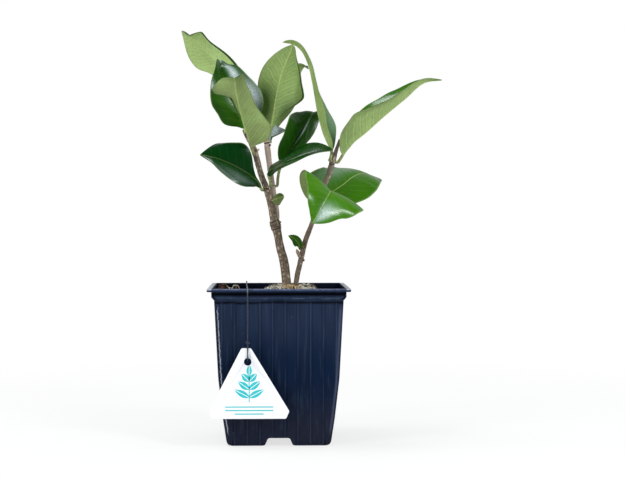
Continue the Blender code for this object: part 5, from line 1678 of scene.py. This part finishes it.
def add_chip(heap, row, index):
    """A torn piece of bark lying tilted on the mix."""
    x, y, bearing, tilt, length, width, thickness = row
    turn = np.array(Euler((0.0, math.radians(tilt), math.radians(bearing))).to_matrix())
    plain = []
    for level, spread in CHIP_LEVELS:
        plain += [(a * length * spread, b * width * spread, level * thickness) for a, b in CHIP_OUTLINE]
    lowest = (np.array(plain) @ turn.T)[:, 2].min()
    around = 42
    outline = np.array(CHIP_OUTLINE + CHIP_OUTLINE[:1])
    run = np.linspace(0, len(CHIP_OUTLINE), around, endpoint=False)
    outline = np.column_stack([np.interp(run, np.arange(len(outline)), outline[:, k]) for k in (0, 1)])
    levels, spreads = zip(*CHIP_LEVELS)
    rings = [np.column_stack([outline * (length, width) * 0.5, np.full(around, -0.5 * thickness)])]
    for level in np.linspace(-0.5, 0.5, 14):
        spread = np.interp(level, levels, spreads) * (1 - 0.05 * (int(level * 14) % 2))
        layer = np.full(around, level * thickness)
        rings.append(np.column_stack([outline * (length, width) * spread, layer]))
    rings.append(np.column_stack([outline * (length, width) * 0.4, np.full(around, 0.5 * thickness)]))
    rings = np.array(rings)
    lumps = rough(rings * (1, 1, 2.2), 2.2, index).reshape(rings.shape[:2])
    fine = rough(rings * (1, 1, 4), 0.8, index + 7).reshape(rings.shape[:2])
    rings = rings * (1 - 0.03 + 0.09 * lumps + 0.03 * fine)[..., None]
    heap.skin(rings @ turn.T + (x, y, MIX_TOP + 0.3 - lowest), bit_tone=(0.2 + 0.15 * index, 0, 0))


class PRIVET_OT_stems(bpy.types.Operator):
    """Makes the two woody stems and the branch, with pores, scars, buds and stubs"""
    bl_idname = "privet.stems"
    bl_label = "Stems"

    def execute(self, context):
        bark = stem_bark(context.scene.privet_plant)
        left, right = Heap(), Heap()
        add_stem(left, LEFT_STEM, 1, 170, LEFT_RINGS, age=(0.0, 0.32))
        add_stem(left, MIDDLE_BRANCH, 2, 40, MIDDLE_RINGS, youth=(0.8, 1.0))
        add_stem(right, RIGHT_STEM, 4, 110, RIGHT_RINGS, youth=(0.0, 0.3), age=(0.22, 0.22))
        for name, heap, knobs in (("left_stem", left, LEFT_KNOBS), ("right_stem", right, RIGHT_KNOBS)):
            for knob in knobs:
                add_knob(heap, *knob)
            settle(heap.build(f"{name}_bark", [bark], 70), "stem_bark", name)
        return {"FINISHED"}


class PRIVET_OT_leaves(bpy.types.Operator):
    """Makes every leaf with its stalk, rib, veins and margin"""
    bl_idname = "privet.leaves"
    bl_label = "Leaves"

    def execute(self, context):
        plant = context.scene.privet_plant
        finishes = [upper_leaf(plant), under_leaf(plant), leaf_stalk(plant)]
        for seed, (name, leaf) in enumerate(LEAVES.items()):
            heap = Heap()
            add_leaf(heap, leaf, plant, seed + 1)
            settle(heap.build(name.replace("leaf_", "blade_"), finishes, 60), "leaf_green", name)
        return {"FINISHED"}


class PRIVET_PT_panel(bpy.types.Panel):
    """Lists the pieces of the plant and what can be set on them"""
    bl_idname = "PRIVET_PT_panel"
    bl_label = "Potted Privet"
    bl_space_type = "VIEW_3D"
    bl_region_type = "UI"
    bl_category = "Privet"

    def draw(self, context):
        for operator in OPERATORS:
            self.layout.operator(operator.bl_idname)
        for name in SETTINGS:
            group = getattr(context.scene, name)
            column = self.layout.column(align=True)
            for key in group.__annotations__:
                column.prop(group, key)


OPERATORS = (PRIVET_OT_stage, PRIVET_OT_tag, PRIVET_OT_pot, PRIVET_OT_filling, PRIVET_OT_stems,
             PRIVET_OT_leaves)
SETTINGS = {"privet_pot": PrivetPotSettings, "privet_plant": PrivetPlantSettings,
            "privet_filling": PrivetFillingSettings, "privet_stage": PrivetStageSettings}


def register():
    """Adds the settings, the operators and the panel."""
    for group in (*SETTINGS.values(), *OPERATORS, PRIVET_PT_panel):
        bpy.utils.register_class(group)
    for name, group in SETTINGS.items():
        setattr(bpy.types.Scene, name, PointerProperty(type=group))


def unregister():
    """Takes them away again."""
    for name in SETTINGS:
        delattr(bpy.types.Scene, name)
    for group in (PRIVET_PT_panel, *OPERATORS, *SETTINGS.values()):
        bpy.utils.unregister_class(group)


def main():
    """Makes every piece."""
    register()
    for operator in OPERATORS:
        group, name = operator.bl_idname.split(".")
        getattr(getattr(bpy.ops, group), name)()
    bpy.context.view_layer.update()


if __name__ == "__main__":
    main()
